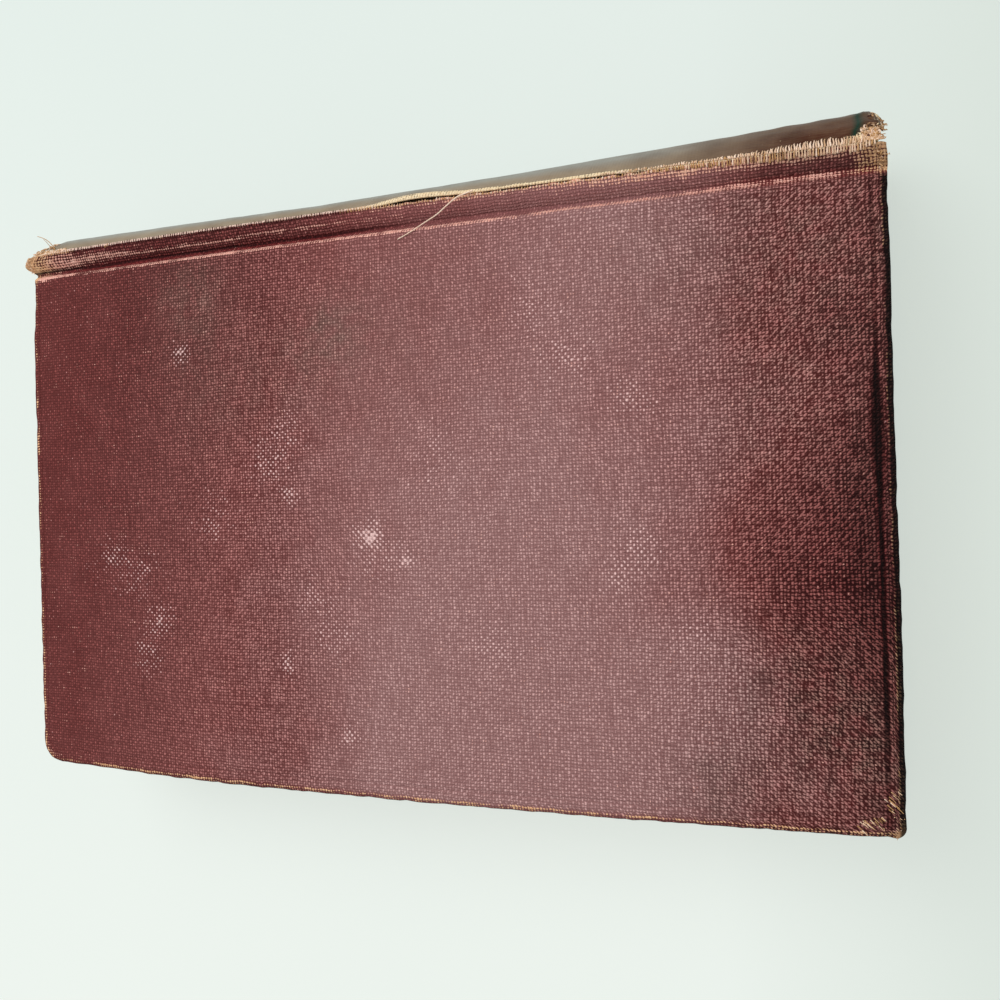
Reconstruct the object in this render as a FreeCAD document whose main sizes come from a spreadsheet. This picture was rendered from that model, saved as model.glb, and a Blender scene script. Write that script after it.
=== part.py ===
import FreeCAD, Part
import os

import Sketcher

# Hardback book, cloth over boards, lying on its lower cover.
# X runs along the book's length with the head at +X, the spine is toward +Y and +Z is up.
# In every body Y is measured from the boards' spine-side edge and Z from the middle of the book.

DRIVING_SIZES = [
    ("cover_length", 190.0, "covered board, head to tail"),
    ("cover_width", 115.0, "covered board, fore-edge to its spine-side edge"),
    ("board_thick", 2.4, "bare board"),
    ("cloth_thick", 0.4, "book cloth with its glue"),
    ("turn_in_width", 14.0, "cloth folded over the board's edges"),
    ("paper_thick", 0.15, "endpaper"),
    ("paste_margin", 4.0, "cover edge to pastedown"),
    ("block_thick", 24.0, "text block with its flyleaves"),
    ("end_square", 3.0, "cover beyond the pages at head and tail"),
    ("fore_square", 3.0, "cover beyond the pages at the fore-edge"),
    ("fore_hollow", 3.2, "depth of the concave fore-edge"),
    ("cover_clearance", 0.1, "air between a closed cover and the pages"),
    ("groove_width", 2.0, "board edge to the foot of the shoulder"),
    ("ridge_reach", 5.7, "board edge to the shoulder ridge"),
    ("shoulder_rise", 2.3, "height of the shoulder over the flyleaf"),
    ("back_round", 3.3, "rounding of the text block's back"),
    ("glue_line", 0.05, "glue between the curved layers of the spine"),
    ("mull_thick", 0.3, "open-weave mull with its glue"),
    ("mull_margin", 1.0, "turn-in to the end of the mull"),
    ("mull_flange", 22.0, "mull glued inside each board"),
    ("lining_thick", 0.2, "paper lining over the mull"),
    ("lining_height", 21.0, "mull and lining across the text block's back"),
    ("inlay_thick", 0.3, "card strip inside the spine cloth"),
    ("split_gap", 0.2, "gap where the cloth has worn through along the ridge"),
    ("edge_round", 0.6, "cloth turning over the board's spine-side edge"),
    ("rule_inset", 3.2, "cover edge to the blind rule"),
    ("rule_width", 0.5, "blind rule"),
    ("rule_depth", 0.2, "blind rule"),
    ("tail_corner", 5.0, "worn round corner at tail and fore-edge"),
    ("head_corner", 1.6, "corner at head and fore-edge"),
    ("spine_round_tail", 6.2, "hollow back beyond the ridge, at the tail"),
    ("spine_round_low", 5.5, "hollow back, at its closest to the pages"),
    ("spine_round_middle", 6.5, "hollow back, past the middle"),
    ("spine_round_high", 8.3, "hollow back, nearer the head"),
    ("spine_round_head", 9.8, "hollow back, pulled out at the head"),
    ("cap_round", 4.0, "rounded ends of the spine cloth"),
    ("tear_width", 0.9, "open tear beside the upper ridge, at its widest"),
    ("notch_width", 2.0, "torn notch at the head"),
    ("notch_depth", 1.5, "torn notch at the head"),
]

SMALLEST_CORNER = 0.3
REACH_PAST = 1.0

# Where the hollow back's rise is given, as shares of the book's length from its middle.
TAIL = (-0.5, "spine_round_tail")
LOW = (-0.12, "spine_round_low")
MIDDLE = (0.12, "spine_round_middle")
HIGH = (0.35, "spine_round_high")
HEAD = (0.5, "spine_round_head")

# Stations between the ends: a share of the length, the rises on both sides and the open share of the tear.
INNER_STATIONS = [
    (-0.12, TAIL, LOW, 0),
    (-0.03, LOW, MIDDLE, 0),
    (0.05, LOW, MIDDLE, 1),
    (0.12, LOW, MIDDLE, 0.7),
    (0.28, MIDDLE, HIGH, 0),
    (0.35, MIDDLE, HIGH, 0),
]

doc = FreeCAD.newDocument("Book")
sheet = doc.addObject("Spreadsheet::Sheet", "Sizes")
for row, (alias, value, meaning) in enumerate(DRIVING_SIZES, start=1):
    sheet.set(f"A{row}", alias)
    sheet.set(f"B{row}", str(value))
    sheet.setAlias(f"B{row}", alias)
    sheet.set(f"C{row}", meaning)
doc.recompute()


def size(alias):
    """The expression that reads one driving size."""
    return f"Sizes.{alias}"


# Levels above the middle of the book, from the pages outward.
BLOCK_TOP = "Sizes.block_thick / 2"
PAGES_TOP = f"{BLOCK_TOP} - Sizes.paper_thick"
PASTE_INNER = f"{BLOCK_TOP} + Sizes.cover_clearance"
TURN_IN_INNER = f"{PASTE_INNER} + Sizes.paper_thick"
BOARD_INNER = f"{TURN_IN_INNER} + Sizes.cloth_thick"
BOARD_OUTER = f"{BOARD_INNER} + Sizes.board_thick"
COVER_OUTER = f"{BOARD_OUTER} + Sizes.cloth_thick"
GROOVE_FLOOR = f"{BOARD_INNER} + Sizes.cloth_thick"
JOINT_UNDERSIDE = f"{BOARD_INNER} + Sizes.cloth_thick / 2"

# The shoulder: a straight slope from its foot beside the board up to the ridge.
SHOULDER_SLOPE = "(Sizes.shoulder_rise / (Sizes.ridge_reach - Sizes.groove_width))"
RIDGE_TOP = f"{BLOCK_TOP} + Sizes.shoulder_rise"
FLANGE_LIFT = "Sizes.cover_clearance + Sizes.mull_thick"
JOINT_LIFT = f"{FLANGE_LIFT} + Sizes.cloth_thick"
CLOTH_RIDGE = f"{RIDGE_TOP} + {JOINT_LIFT}"
BEND = (
    "Sizes.groove_width + (Sizes.paper_thick + Sizes.cloth_thick - Sizes.mull_thick)"
    f" / {SHOULDER_SLOPE}"
)
JOINT_END = "Sizes.ridge_reach - Sizes.split_gap"

# The back of the text block is one arc from ridge to ridge.
PAGE_RIDGE = f"{RIDGE_TOP} - Sizes.paper_thick"
BACK_RADIUS = f"(({PAGE_RIDGE}) ^ 2 + Sizes.back_round ^ 2) / (2 * Sizes.back_round)"
BACK_CENTRE = f"Sizes.ridge_reach + Sizes.back_round - {BACK_RADIUS}"
LINING_START = "2 * Sizes.glue_line + Sizes.mull_thick"

PAGE_LENGTH = "Sizes.cover_length - 2 * Sizes.end_square"
PAGE_FORE_EDGE = "Sizes.fore_square - Sizes.cover_width"
MULL_LENGTH = "Sizes.cover_length - 2 * (Sizes.turn_in_width + Sizes.mull_margin)"


def shoulder_level(reach, lift):
    """Level on the shoulder's slope at a distance from the board's edge, raised by a lift."""
    return f"{BLOCK_TOP} + ({reach} - Sizes.groove_width) * {SHOULDER_SLOPE} + {lift}"


def number(expression):
    """The value that an expression has now."""
    return float(sheet.evalExpression(expression))


def new_body(label):
    """A body whose name and label are the sub-part's name."""
    body = doc.addObject("PartDesign::Body", label)
    body.Label = label
    return body


def new_sketch(body, name, plane, level="0"):
    """A sketch on one of the body's own origin planes, raised along its normal by a level."""
    sketch = body.newObject("Sketcher::SketchObject", f"{body.Name}_{name}")
    support = [feature for feature in body.Origin.OriginFeatures if feature.Role == plane][0]
    sketch.AttachmentSupport = [(support, "")]
    sketch.MapMode = "FlatFace"
    if level != "0":
        sketch.setExpression("AttachmentOffset.Base.z", level)
    return sketch


def bind(sketch, constraint, expression):
    """Add a dimension to a sketch and tie it to an expression."""
    index = sketch.addConstraint(constraint)
    sketch.setExpression(f"Constraints[{index}]", expression)


def pin(sketch, edge, end, across, along):
    """Fix one end of an edge at two expressions from the sketch's origin."""
    for kind, axis, expression in (("DistanceX", -2, across), ("DistanceY", -1, along)):
        if expression == "0":
            sketch.addConstraint(Sketcher.Constraint("PointOnObject", edge, end, axis))
        else:
            value = number(expression)
            bind(sketch, Sketcher.Constraint(kind, -1, 1, edge, end, value), expression)


def arc_between(start, end, radius, turn):
    """An arc from start to end; turn +1 goes anticlockwise round its centre and -1 clockwise."""
    chord = end - start
    rise = (max(radius ** 2 - chord.Length ** 2 / 4, 0.0)) ** 0.5
    side = FreeCAD.Vector(-chord.y, chord.x, 0).normalize()
    centre = start + chord / 2 + side * rise * turn
    circle = Part.Circle(centre, FreeCAD.Vector(0, 0, 1), radius)
    first, last = (start, end) if turn > 0 else (end, start)
    return Part.ArcOfCircle(circle, circle.parameter(first), circle.parameter(last))


def draw_outline(sketch, corners, arcs=None):
    """A closed outline through corners given as pairs of expressions.

    arcs gives, for the edge that leaves a corner, its radius expression and its turn.
    """
    arcs = arcs or {}
    places = [FreeCAD.Vector(number(across), number(along), 0) for across, along in corners]
    count = len(corners)
    edges = []
    for index in range(count):
        start, end = places[index], places[(index + 1) % count]
        if index in arcs:
            radius, turn = arcs[index]
            edge = sketch.addGeometry(arc_between(start, end, number(radius), turn))
            ends = (1, 2) if turn > 0 else (2, 1)
        else:
            edge = sketch.addGeometry(Part.LineSegment(start, end))
            ends = (1, 2)
        edges.append((edge, ends))
    for index in range(count):
        edge, ends = edges[index]
        after, after_ends = edges[(index + 1) % count]
        sketch.addConstraint(Sketcher.Constraint("Coincident", edge, ends[1], after, after_ends[0]))
        pin(sketch, edge, ends[0], *corners[index])
        if index in arcs:
            radius = arcs[index][0]
            bind(sketch, Sketcher.Constraint("Radius", edge, number(radius)), radius)


def draw_plate(sketch, corners, inset, spine_edge):
    """A cover's outline set in from its edges, with its two fore-edge corners rounded.

    corners names the radius at -X and at +X, and spine_edge is where the outline ends toward the spine.
    """
    near, far = [f"max({size(name)} - ({inset}), {SMALLEST_CORNER})" for name in corners]
    half = f"(Sizes.cover_length / 2 - ({inset}))"
    fore = f"({inset} - Sizes.cover_width)"
    outline = [
        (f"-{half}", spine_edge),
        (f"-{half}", f"{fore} + {near}"),
        (f"-{half} + {near}", fore),
        (f"{half} - {far}", fore),
        (half, f"{fore} + {far}"),
        (half, spine_edge),
    ]
    draw_outline(sketch, outline, {1: (near, 1), 3: (far, 1)})


def pad(body, sketch, length, symmetric=False):
    """Extrude a sketch, up from its plane or evenly to both sides."""
    feature = body.newObject("PartDesign::Pad", f"{sketch.Name}_pad")
    feature.Profile = sketch
    if symmetric:
        feature.SideType = "Symmetric"
    feature.setExpression("Length", length)
    return feature


def pocket(body, sketch, depth):
    """Cut a sketch down from its plane; the cut has to take something away."""
    doc.recompute()
    before = body.Shape.Volume
    feature = body.newObject("PartDesign::Pocket", f"{sketch.Name}_pocket")
    feature.Profile = sketch
    feature.setExpression("Length", depth)
    doc.recompute()
    if body.Shape.Volume >= before:
        raise ValueError(f"{feature.Name} cuts nothing")
    return feature


def place(body, turned=False):
    """Stand a body on the table; a turned one is the same piece on the lower side of the book."""
    if turned:
        body.Placement = FreeCAD.Placement(
            FreeCAD.Vector(), FreeCAD.Rotation(FreeCAD.Vector(0, 1, 0), 180)
        )
    body.setExpression("Placement.Base.z", COVER_OUTER)
    middle = "(Sizes.cover_width - Sizes.ridge_reach - Sizes.spine_round_head) / 2"
    body.setExpression("Placement.Base.y", middle)
    return body


def make_board(side, corners, turned):
    """Millboard, thinner than the covered board by the cloth on three edges."""
    body = new_body(f"{side}_board")
    sketch = new_sketch(body, "outline", "XY_Plane", BOARD_INNER)
    draw_plate(sketch, corners, "Sizes.cloth_thick", "0")
    pad(body, sketch, "Sizes.board_thick")
    return place(body, turned)


def make_cover_cloth(side, corners, turned):
    """Cloth over the board: face, wrapped edges, turn-ins, blind rule and the strip down the joint."""
    body = new_body(f"{side}_cover_cloth")
    wrap = new_sketch(body, "wrap", "XY_Plane", TURN_IN_INNER)
    draw_plate(wrap, corners, "0", "0")
    pad(body, wrap, f"{COVER_OUTER} - ({TURN_IN_INNER})")

    slot = new_sketch(body, "board_slot", "XY_Plane", BOARD_OUTER)
    draw_plate(slot, corners, "Sizes.cloth_thick", f"{REACH_PAST}")
    pocket(body, slot, "Sizes.board_thick")

    window = new_sketch(body, "turn_ins", "XY_Plane", BOARD_INNER)
    draw_plate(window, corners, "Sizes.turn_in_width", f"{REACH_PAST}")
    pocket(body, window, "Sizes.cloth_thick")

    joint = new_sketch(body, "joint", "YZ_Plane")
    draw_outline(
        joint,
        [
            ("0", JOINT_UNDERSIDE),
            (BEND, BOARD_INNER),
            (JOINT_END, shoulder_level(JOINT_END, FLANGE_LIFT)),
            (JOINT_END, shoulder_level(JOINT_END, JOINT_LIFT)),
            (BEND, GROOVE_FLOOR),
            ("Sizes.groove_width / 2", GROOVE_FLOOR),
            ("Sizes.edge_round", f"{COVER_OUTER} - Sizes.edge_round"),
            ("0", COVER_OUTER),
        ],
        {6: ("Sizes.edge_round", 1)},
    )
    pad(body, joint, "Sizes.cover_length", symmetric=True)

    rule = new_sketch(body, "blind_rule", "XY_Plane", COVER_OUTER)
    draw_plate(rule, corners, "Sizes.rule_inset", "-Sizes.rule_inset")
    inner_edge = "Sizes.rule_inset + Sizes.rule_width"
    draw_plate(rule, corners, inner_edge, f"-({inner_edge})")
    pocket(body, rule, "Sizes.rule_depth")
    return place(body, turned)


def make_mull_flange(side, turned):
    """The half of the mull that is glued inside a board and runs up the shoulder to the ridge."""
    body = new_body(f"{side}_mull_flange")
    sketch = new_sketch(body, "profile", "YZ_Plane")
    under_board = f"{BOARD_INNER} - Sizes.mull_thick"
    draw_outline(
        sketch,
        [
            ("-Sizes.mull_flange", under_board),
            (BEND, under_board),
            (JOINT_END, shoulder_level(JOINT_END, "Sizes.cover_clearance")),
            (JOINT_END, shoulder_level(JOINT_END, FLANGE_LIFT)),
            (BEND, BOARD_INNER),
            ("-Sizes.mull_flange", BOARD_INNER),
        ],
    )
    pad(body, sketch, MULL_LENGTH, symmetric=True)
    return place(body, turned)


def make_pastedown(side, corners, turned):
    """Endpaper glued inside the board, pressed down between the turn-ins and over the mull."""
    body = new_body(f"{side}_pastedown")
    sheet_depth = "Sizes.paper_thick + Sizes.cloth_thick"
    outline = new_sketch(body, "outline", "XY_Plane", PASTE_INNER)
    draw_plate(outline, corners, "Sizes.paste_margin", "0")
    pad(body, outline, sheet_depth)

    over = new_sketch(body, "over_turn_ins", "XY_Plane", BOARD_INNER)
    draw_plate(over, corners, "Sizes.paste_margin / 2", f"{2 * REACH_PAST}")
    draw_plate(over, corners, "Sizes.turn_in_width", f"{REACH_PAST}")
    pocket(body, over, "Sizes.cloth_thick")

    seat = new_sketch(body, "over_mull", "XY_Plane", BOARD_INNER)
    half_mull = f"({MULL_LENGTH}) / 2"
    seat_corners = [
        (f"-{half_mull}", "-Sizes.mull_flange"),
        (half_mull, "-Sizes.mull_flange"),
        (half_mull, f"{REACH_PAST}"),
        (f"-{half_mull}", f"{REACH_PAST}"),
    ]
    draw_outline(seat, seat_corners)
    pocket(body, seat, "Sizes.mull_thick")

    dip = new_sketch(body, "between_turn_ins", "XY_Plane", f"{BOARD_INNER} - Sizes.paper_thick")
    inner = "Sizes.turn_in_width + Sizes.paper_thick"
    draw_plate(dip, corners, inner, "-(Sizes.mull_flange + Sizes.paper_thick)")
    pocket(body, dip, "Sizes.cloth_thick")
    return place(body, turned)


def make_flyleaf(side, turned):
    """The free half of an endpaper, lying on the pages and up the shoulder."""
    body = new_body(f"{side}_flyleaf")
    sketch = new_sketch(body, "profile", "YZ_Plane")
    draw_outline(
        sketch,
        [
            (PAGE_FORE_EDGE, PAGES_TOP),
            ("Sizes.groove_width", PAGES_TOP),
            ("Sizes.ridge_reach", PAGE_RIDGE),
            ("Sizes.ridge_reach", RIDGE_TOP),
            ("Sizes.groove_width", BLOCK_TOP),
            (PAGE_FORE_EDGE, BLOCK_TOP),
        ],
    )
    pad(body, sketch, PAGE_LENGTH, symmetric=True)
    return place(body, turned)


def make_page_block():
    """Sewn pages as one solid, rounded and backed: concave fore-edge, shoulders and an arched back."""
    body = new_body("page_block")
    sketch = new_sketch(body, "profile", "YZ_Plane")
    fore_radius = f"(({PAGES_TOP}) ^ 2 + Sizes.fore_hollow ^ 2) / (2 * Sizes.fore_hollow)"
    draw_outline(
        sketch,
        [
            (PAGE_FORE_EDGE, f"-({PAGES_TOP})"),
            ("Sizes.groove_width", f"-({PAGES_TOP})"),
            ("Sizes.ridge_reach", f"-({PAGE_RIDGE})"),
            ("Sizes.ridge_reach", PAGE_RIDGE),
            ("Sizes.groove_width", PAGES_TOP),
            (PAGE_FORE_EDGE, PAGES_TOP),
        ],
        {2: (BACK_RADIUS, 1), 5: (fore_radius, -1)},
    )
    pad(body, sketch, PAGE_LENGTH, symmetric=True)
    return place(body)


def make_back_layer(label, start, thick, length):
    """A sheet glued round the text block's back, start above the pages' own arc."""
    body = new_body(label)
    sketch = new_sketch(body, "profile", "YZ_Plane")
    half = "Sizes.lining_height / 2"
    inner_radius = f"{BACK_RADIUS} + {start}"
    outer_radius = f"{inner_radius} + {thick}"
    inner_edge, outer_edge = [
        f"{BACK_CENTRE} + sqrt(({radius}) ^ 2 - ({half}) ^ 2)" for radius in (inner_radius, outer_radius)
    ]
    draw_outline(
        sketch,
        [
            (inner_edge, f"-({half})"),
            (outer_edge, f"-({half})"),
            (outer_edge, half),
            (inner_edge, half),
        ],
        {1: (outer_radius, 1), 3: (inner_radius, -1)},
    )
    pad(body, sketch, length, symmetric=True)
    return place(body)


def arch_radius(rise, half):
    """Radius of an arc of a given rise over a half chord."""
    return f"(({half}) ^ 2 + ({rise}) ^ 2) / (2 * ({rise}))"


def rise_at(position, first, last):
    """The hollow back's rise at a position between two places where it is given."""
    start, end = [f"({share} * Sizes.cover_length)" for share, _ in (first, last)]
    part = f"(({position}) - {start}) / ({end} - {start})"
    return f"({size(first[1])} + ({size(last[1])} - {size(first[1])}) * {part})"


def hollow_back_stations(ends):
    """Position, rise and open share of the tear along the back; ends are the outer stations at the head."""
    stations = [(f"-({end})", rise_at(f"-({end})", TAIL, LOW), 0) for end in reversed(ends)]
    for share, first, last, opening in INNER_STATIONS:
        position = f"({share}) * Sizes.cover_length"
        stations.append((position, rise_at(position, first, last), opening))
    return stations + [(end, rise_at(end, HIGH, HEAD), 0) for end in ends]


def arch_end(rise, half, level):
    """How far beyond the board's edge an arch over a half chord is at a level above its axis."""
    if level == half:
        return "Sizes.ridge_reach"
    radius = arch_radius(rise, half)
    return f"Sizes.ridge_reach + ({rise}) - {radius} + sqrt(({radius}) ^ 2 - ({level}) ^ 2)"


def make_hollow_back_sheet(label, start, thick, ends, torn):
    """A sheet arched from ridge to ridge and lofted along the covers, so that it swells to the head.

    start is how far inside the spine's outer face the sheet's outer face lies.
    """
    body = new_body(label)
    outer_half = f"{CLOTH_RIDGE} - ({start})"
    inner_half = f"{outer_half} - {thick}"
    sections = []
    for position, rise, opening in hollow_back_stations(ends):
        section = new_sketch(body, f"section_{len(sections)}", "YZ_Plane", position)
        outer_rise = f"{rise} - ({start})"
        inner_rise = f"{outer_rise} - {thick}"
        pulled_back = f" - {opening} * Sizes.tear_width" if torn and opening else ""
        outer_level = f"{outer_half}{pulled_back}"
        inner_level = f"{inner_half}{pulled_back}"
        draw_outline(
            section,
            [
                ("Sizes.ridge_reach", f"-({outer_half})"),
                (arch_end(outer_rise, outer_half, outer_level), outer_level),
                (arch_end(inner_rise, inner_half, inner_level), inner_level),
                ("Sizes.ridge_reach", f"-({inner_half})"),
            ],
            {
                0: (arch_radius(outer_rise, outer_half), 1),
                2: (arch_radius(inner_rise, inner_half), -1),
            },
        )
        sections.append(section)
    loft = body.newObject("PartDesign::AdditiveLoft", f"{label}_loft")
    loft.Profile = sections[0]
    loft.Sections = sections[1:]
    loft.Ruled = True
    return body


def make_spine_cloth():
    """Cloth of the hollow back, with rounded caps, the tear beside the ridge and the torn notch."""
    half = "Sizes.cover_length / 2"
    ends = [f"{half} - Sizes.cap_round", half]
    body = make_hollow_back_sheet("spine_cloth", "0", "Sizes.cloth_thick", ends, torn=True)
    through = f"2 * ({COVER_OUTER})"

    for name, sign, rise, turn in (
        ("tail_cap", "-", "spine_round_tail", -1),
        ("head_cap", "", "spine_round_head", 1),
    ):
        cap = new_sketch(body, name, "XY_Plane", COVER_OUTER)
        crown = f"Sizes.ridge_reach + {size(rise)}"
        draw_outline(
            cap,
            [
                (f"{sign}({half})", f"{crown} - Sizes.cap_round"),
                (f"{sign}({half} - Sizes.cap_round)", crown),
                (f"{sign}({half} - Sizes.cap_round)", f"{crown} + {REACH_PAST}"),
                (f"{sign}({half} + {REACH_PAST})", f"{crown} + {REACH_PAST}"),
                (f"{sign}({half} + {REACH_PAST})", f"{crown} - Sizes.cap_round"),
            ],
            {0: ("Sizes.cap_round", turn)},
        )
        pocket(body, cap, through)

    notch = new_sketch(body, "notch", "XY_Plane", COVER_OUTER)
    draw_outline(
        notch,
        [
            (f"{half} - Sizes.notch_depth", "Sizes.ridge_reach + Sizes.notch_width / 2"),
            (f"{half} + {REACH_PAST}", f"Sizes.ridge_reach - {REACH_PAST}"),
            (f"{half} + {REACH_PAST}", "Sizes.ridge_reach + Sizes.notch_width"),
        ],
    )
    pocket(body, notch, COVER_OUTER)
    return place(body)


def make_spine_inlay():
    """Card strip glued inside the spine cloth, as long as the pages."""
    start = "Sizes.cloth_thick + Sizes.glue_line"
    ends = [f"({PAGE_LENGTH}) / 2"]
    return place(make_hollow_back_sheet("spine_inlay", start, "Sizes.inlay_thick", ends, torn=False))


parts = [
    make_page_block(),
    make_back_layer("spine_mull", "Sizes.glue_line", "Sizes.mull_thick", MULL_LENGTH),
    make_back_layer("spine_lining", LINING_START, "Sizes.lining_thick", PAGE_LENGTH),
    make_spine_inlay(),
    make_spine_cloth(),
]

# The lower cover is the upper one turned over about Y, which swaps its two ends,
# so its radii are given in the other order and the worn corner stays at the tail.
for side, corners, turned in (
    ("upper", ("tail_corner", "head_corner"), False),
    ("lower", ("head_corner", "tail_corner"), True),
):
    parts.append(make_flyleaf(side, turned))
    parts.append(make_board(side, corners, turned))
    parts.append(make_cover_cloth(side, corners, turned))
    parts.append(make_mull_flange(side, turned))
    parts.append(make_pastedown(side, corners, turned))

doc.recompute()
for item in doc.Objects:
    if "Invalid" in item.State or "Error" in item.State:
        raise ValueError(f"{item.Name} failed: {item.State}")
for part in parts:
    if part.Shape.isNull() or not part.Shape.isValid():
        raise ValueError(f"{part.Label} has no valid shape")

os.makedirs("parts", exist_ok=True)
for part in parts:
    part.Shape.exportStep(f"parts/{part.Label}.step")
    box = part.Shape.BoundBox
    print(
        f"{part.Label}: {len(part.Shape.Solids)} solid, {part.Shape.Volume:.0f} mm3,"
        f" x {box.XMin:.2f} to {box.XMax:.2f}, y {box.YMin:.2f} to {box.YMax:.2f},"
        f" z {box.ZMin:.2f} to {box.ZMax:.2f}"
    )
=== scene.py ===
# %% [markdown]
# # An old cloth-bound book
#
# The book is maroon book cloth over millboards, with a hollow back that has come loose along its
# upper joint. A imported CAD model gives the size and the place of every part. This lesson keeps
# that model as a fixed frame and makes the cloth, the frayed threads and the edges of the pages
# as new surfaces around it. Each surface is a formula worked out with numpy for a whole grid of
# points at once, because a formula can be measured, changed and repeated.

import bmesh
import bpy
import numpy as np
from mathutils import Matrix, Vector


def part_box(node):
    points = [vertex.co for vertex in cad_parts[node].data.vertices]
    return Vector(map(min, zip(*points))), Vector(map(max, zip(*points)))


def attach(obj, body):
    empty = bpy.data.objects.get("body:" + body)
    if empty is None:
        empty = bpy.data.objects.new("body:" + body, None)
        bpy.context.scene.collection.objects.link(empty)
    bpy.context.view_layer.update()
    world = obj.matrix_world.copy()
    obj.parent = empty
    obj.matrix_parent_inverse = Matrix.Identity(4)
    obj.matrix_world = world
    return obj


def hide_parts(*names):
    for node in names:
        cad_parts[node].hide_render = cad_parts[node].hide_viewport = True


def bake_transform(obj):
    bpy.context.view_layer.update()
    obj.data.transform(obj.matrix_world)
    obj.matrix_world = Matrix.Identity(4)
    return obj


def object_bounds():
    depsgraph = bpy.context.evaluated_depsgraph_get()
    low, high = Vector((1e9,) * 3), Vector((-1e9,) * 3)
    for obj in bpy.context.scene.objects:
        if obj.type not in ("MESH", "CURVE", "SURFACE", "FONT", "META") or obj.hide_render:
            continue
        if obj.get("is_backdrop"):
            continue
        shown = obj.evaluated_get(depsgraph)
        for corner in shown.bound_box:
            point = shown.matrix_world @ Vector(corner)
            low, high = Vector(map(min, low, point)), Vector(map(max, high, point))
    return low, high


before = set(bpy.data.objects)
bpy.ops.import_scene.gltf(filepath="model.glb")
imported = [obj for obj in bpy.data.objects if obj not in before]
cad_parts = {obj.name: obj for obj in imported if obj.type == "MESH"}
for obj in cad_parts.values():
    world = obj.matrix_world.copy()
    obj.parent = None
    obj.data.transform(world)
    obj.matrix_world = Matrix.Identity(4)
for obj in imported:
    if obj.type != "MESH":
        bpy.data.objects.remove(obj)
CAD_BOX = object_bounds()

# %% [markdown]
# ## The camera
#
# The photo looks down on the upper cover from above its head end. A camera could be placed by
# eye. Here its place was worked out from the four corners of the cover, so that every point of
# the model falls where the photo shows it. A lens as long as the sensor is wide gives a picture
# whose width equals its distance.

# %% Camera
MM = 0.001
CAMERA_PLACE = (90.24, -4.63, 217.59)
CAMERA_TURN = (-0.761, 20.047, -1.506)
LENS = 36.0

camera = bpy.data.objects.new("book_camera", bpy.data.cameras.new("book_camera"))
camera.data.lens = LENS
camera.data.sensor_width = LENS
camera.data.clip_start = 0.01
camera.location = [value * MM for value in CAMERA_PLACE]
camera.rotation_euler = np.radians(CAMERA_TURN)
bpy.context.collection.objects.link(camera)
bpy.context.scene.camera = camera
bpy.context.scene.view_settings.view_transform = "Standard"
print("camera", CAMERA_PLACE)

# %% [markdown]
# ## The measures that the CAD parts give
#
# All shapes below are worked out in millimetres. X runs along the spine towards the head of the
# book, Y from the fore-edge to the spine, and Z up from the lower cover to the upper one. The
# cloth lies 0.4 mm thick on the board, so the outer face of the cloth is the CAD cloth's own
# box, and the board's box gives the edge where the joint begins. The threads of the weave lie
# 0.63 mm apart, and the ribs pushed together at the head 0.47 mm. The last two numbers shift the
# weave of the lower cover and of the spine, so that no two cloths have the same uneven spots.

# %% Measures
def node_box(name):
    """Lowest and highest corner of a CAD node at rest, in millimetres."""
    low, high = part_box(name)
    return np.array(low) / MM, np.array(high) / MM


board_high = node_box("upper_board")[1]
cover_low, cover_high = node_box("upper_cover_cloth")
block_low, block_high = node_box("page_block")
paste_low = node_box("upper_pastedown")[0]
HALF_LENGTH = cover_high[0]
FORE = cover_low[1]
EDGE = board_high[1]
JOINT_END = cover_high[1]
RIDGE = JOINT_END + 0.2
TOP = cover_high[2]
MIDDLE = TOP / 2
TURN_IN_LEVEL = paste_low[2] + 0.17
HALF_BACK = 15.1
CLOTH = 0.36
STRIP_DEPTH = 0.78
THREAD = 0.63
RIB_PITCH = 0.47
LOWER_WEAVE_SHIFT, SPINE_WEAVE_SHIFT = 217.0, 470.0
print("cover", 2 * HALF_LENGTH, "by", EDGE - FORE, "top", TOP, "joint", JOINT_END - EDGE)

# %% [markdown]
# ## Helpers for surfaces
#
# Old cloth is never flat or straight, and a few sine waves in different directions, added up,
# give a calm unevenness that is the same on every run. A grid of points becomes a mesh whose
# faces join neighbouring points. Each mesh carries its flat coordinates, in metres along the
# cloth, as a UV map, so that a weave follows the cloth round every edge, and it carries masks,
# such as wear, as numbers on its points.

# %% Unevenness
FULL_TURN = 6.283
HALF_TURN = 3.14159


def waves(x, y, period, seed, count=7):
    """Sum of sine waves of about one period, each in a direction of its own, scaled to about 1."""
    dice = np.random.default_rng(seed)
    total = np.zeros(np.broadcast(x, y).shape)
    for turn, phase, stretch in zip(*dice.uniform(size=(3, count))):
        turn, phase, stretch = FULL_TURN * turn, FULL_TURN * phase, 0.7 + 0.7 * stretch
        along = x * np.cos(turn) + y * np.sin(turn)
        total = total + np.sin(FULL_TURN * along / (period * stretch) + phase)
    return total / np.sqrt(count)


def ramp(value, start, end):
    """0 before start and 1 after end, with an even S-shaped rise between them."""
    share = np.clip((value - start) / (end - start), 0.0, 1.0)
    return share * share * (3.0 - 2.0 * share)


def spot(x, y, place, size):
    """A round soft spot: 1 at its place, and falling off as a bell of that size."""
    return np.exp(-((x - place[0]) ** 2 + (y - place[1]) ** 2) / (size * size))


print("waves span", waves(np.arange(200.0), 0.0, 20.0, 1).round(2)[[0, 50, 100]])

# %% [markdown]
# ## From grids to pieces
#
# A sheet could be shaped by hand, vertex by vertex. These helpers make it from whole arrays
# instead, and give every piece the body that it rides on and the CAD nodes it stands for.

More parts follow.
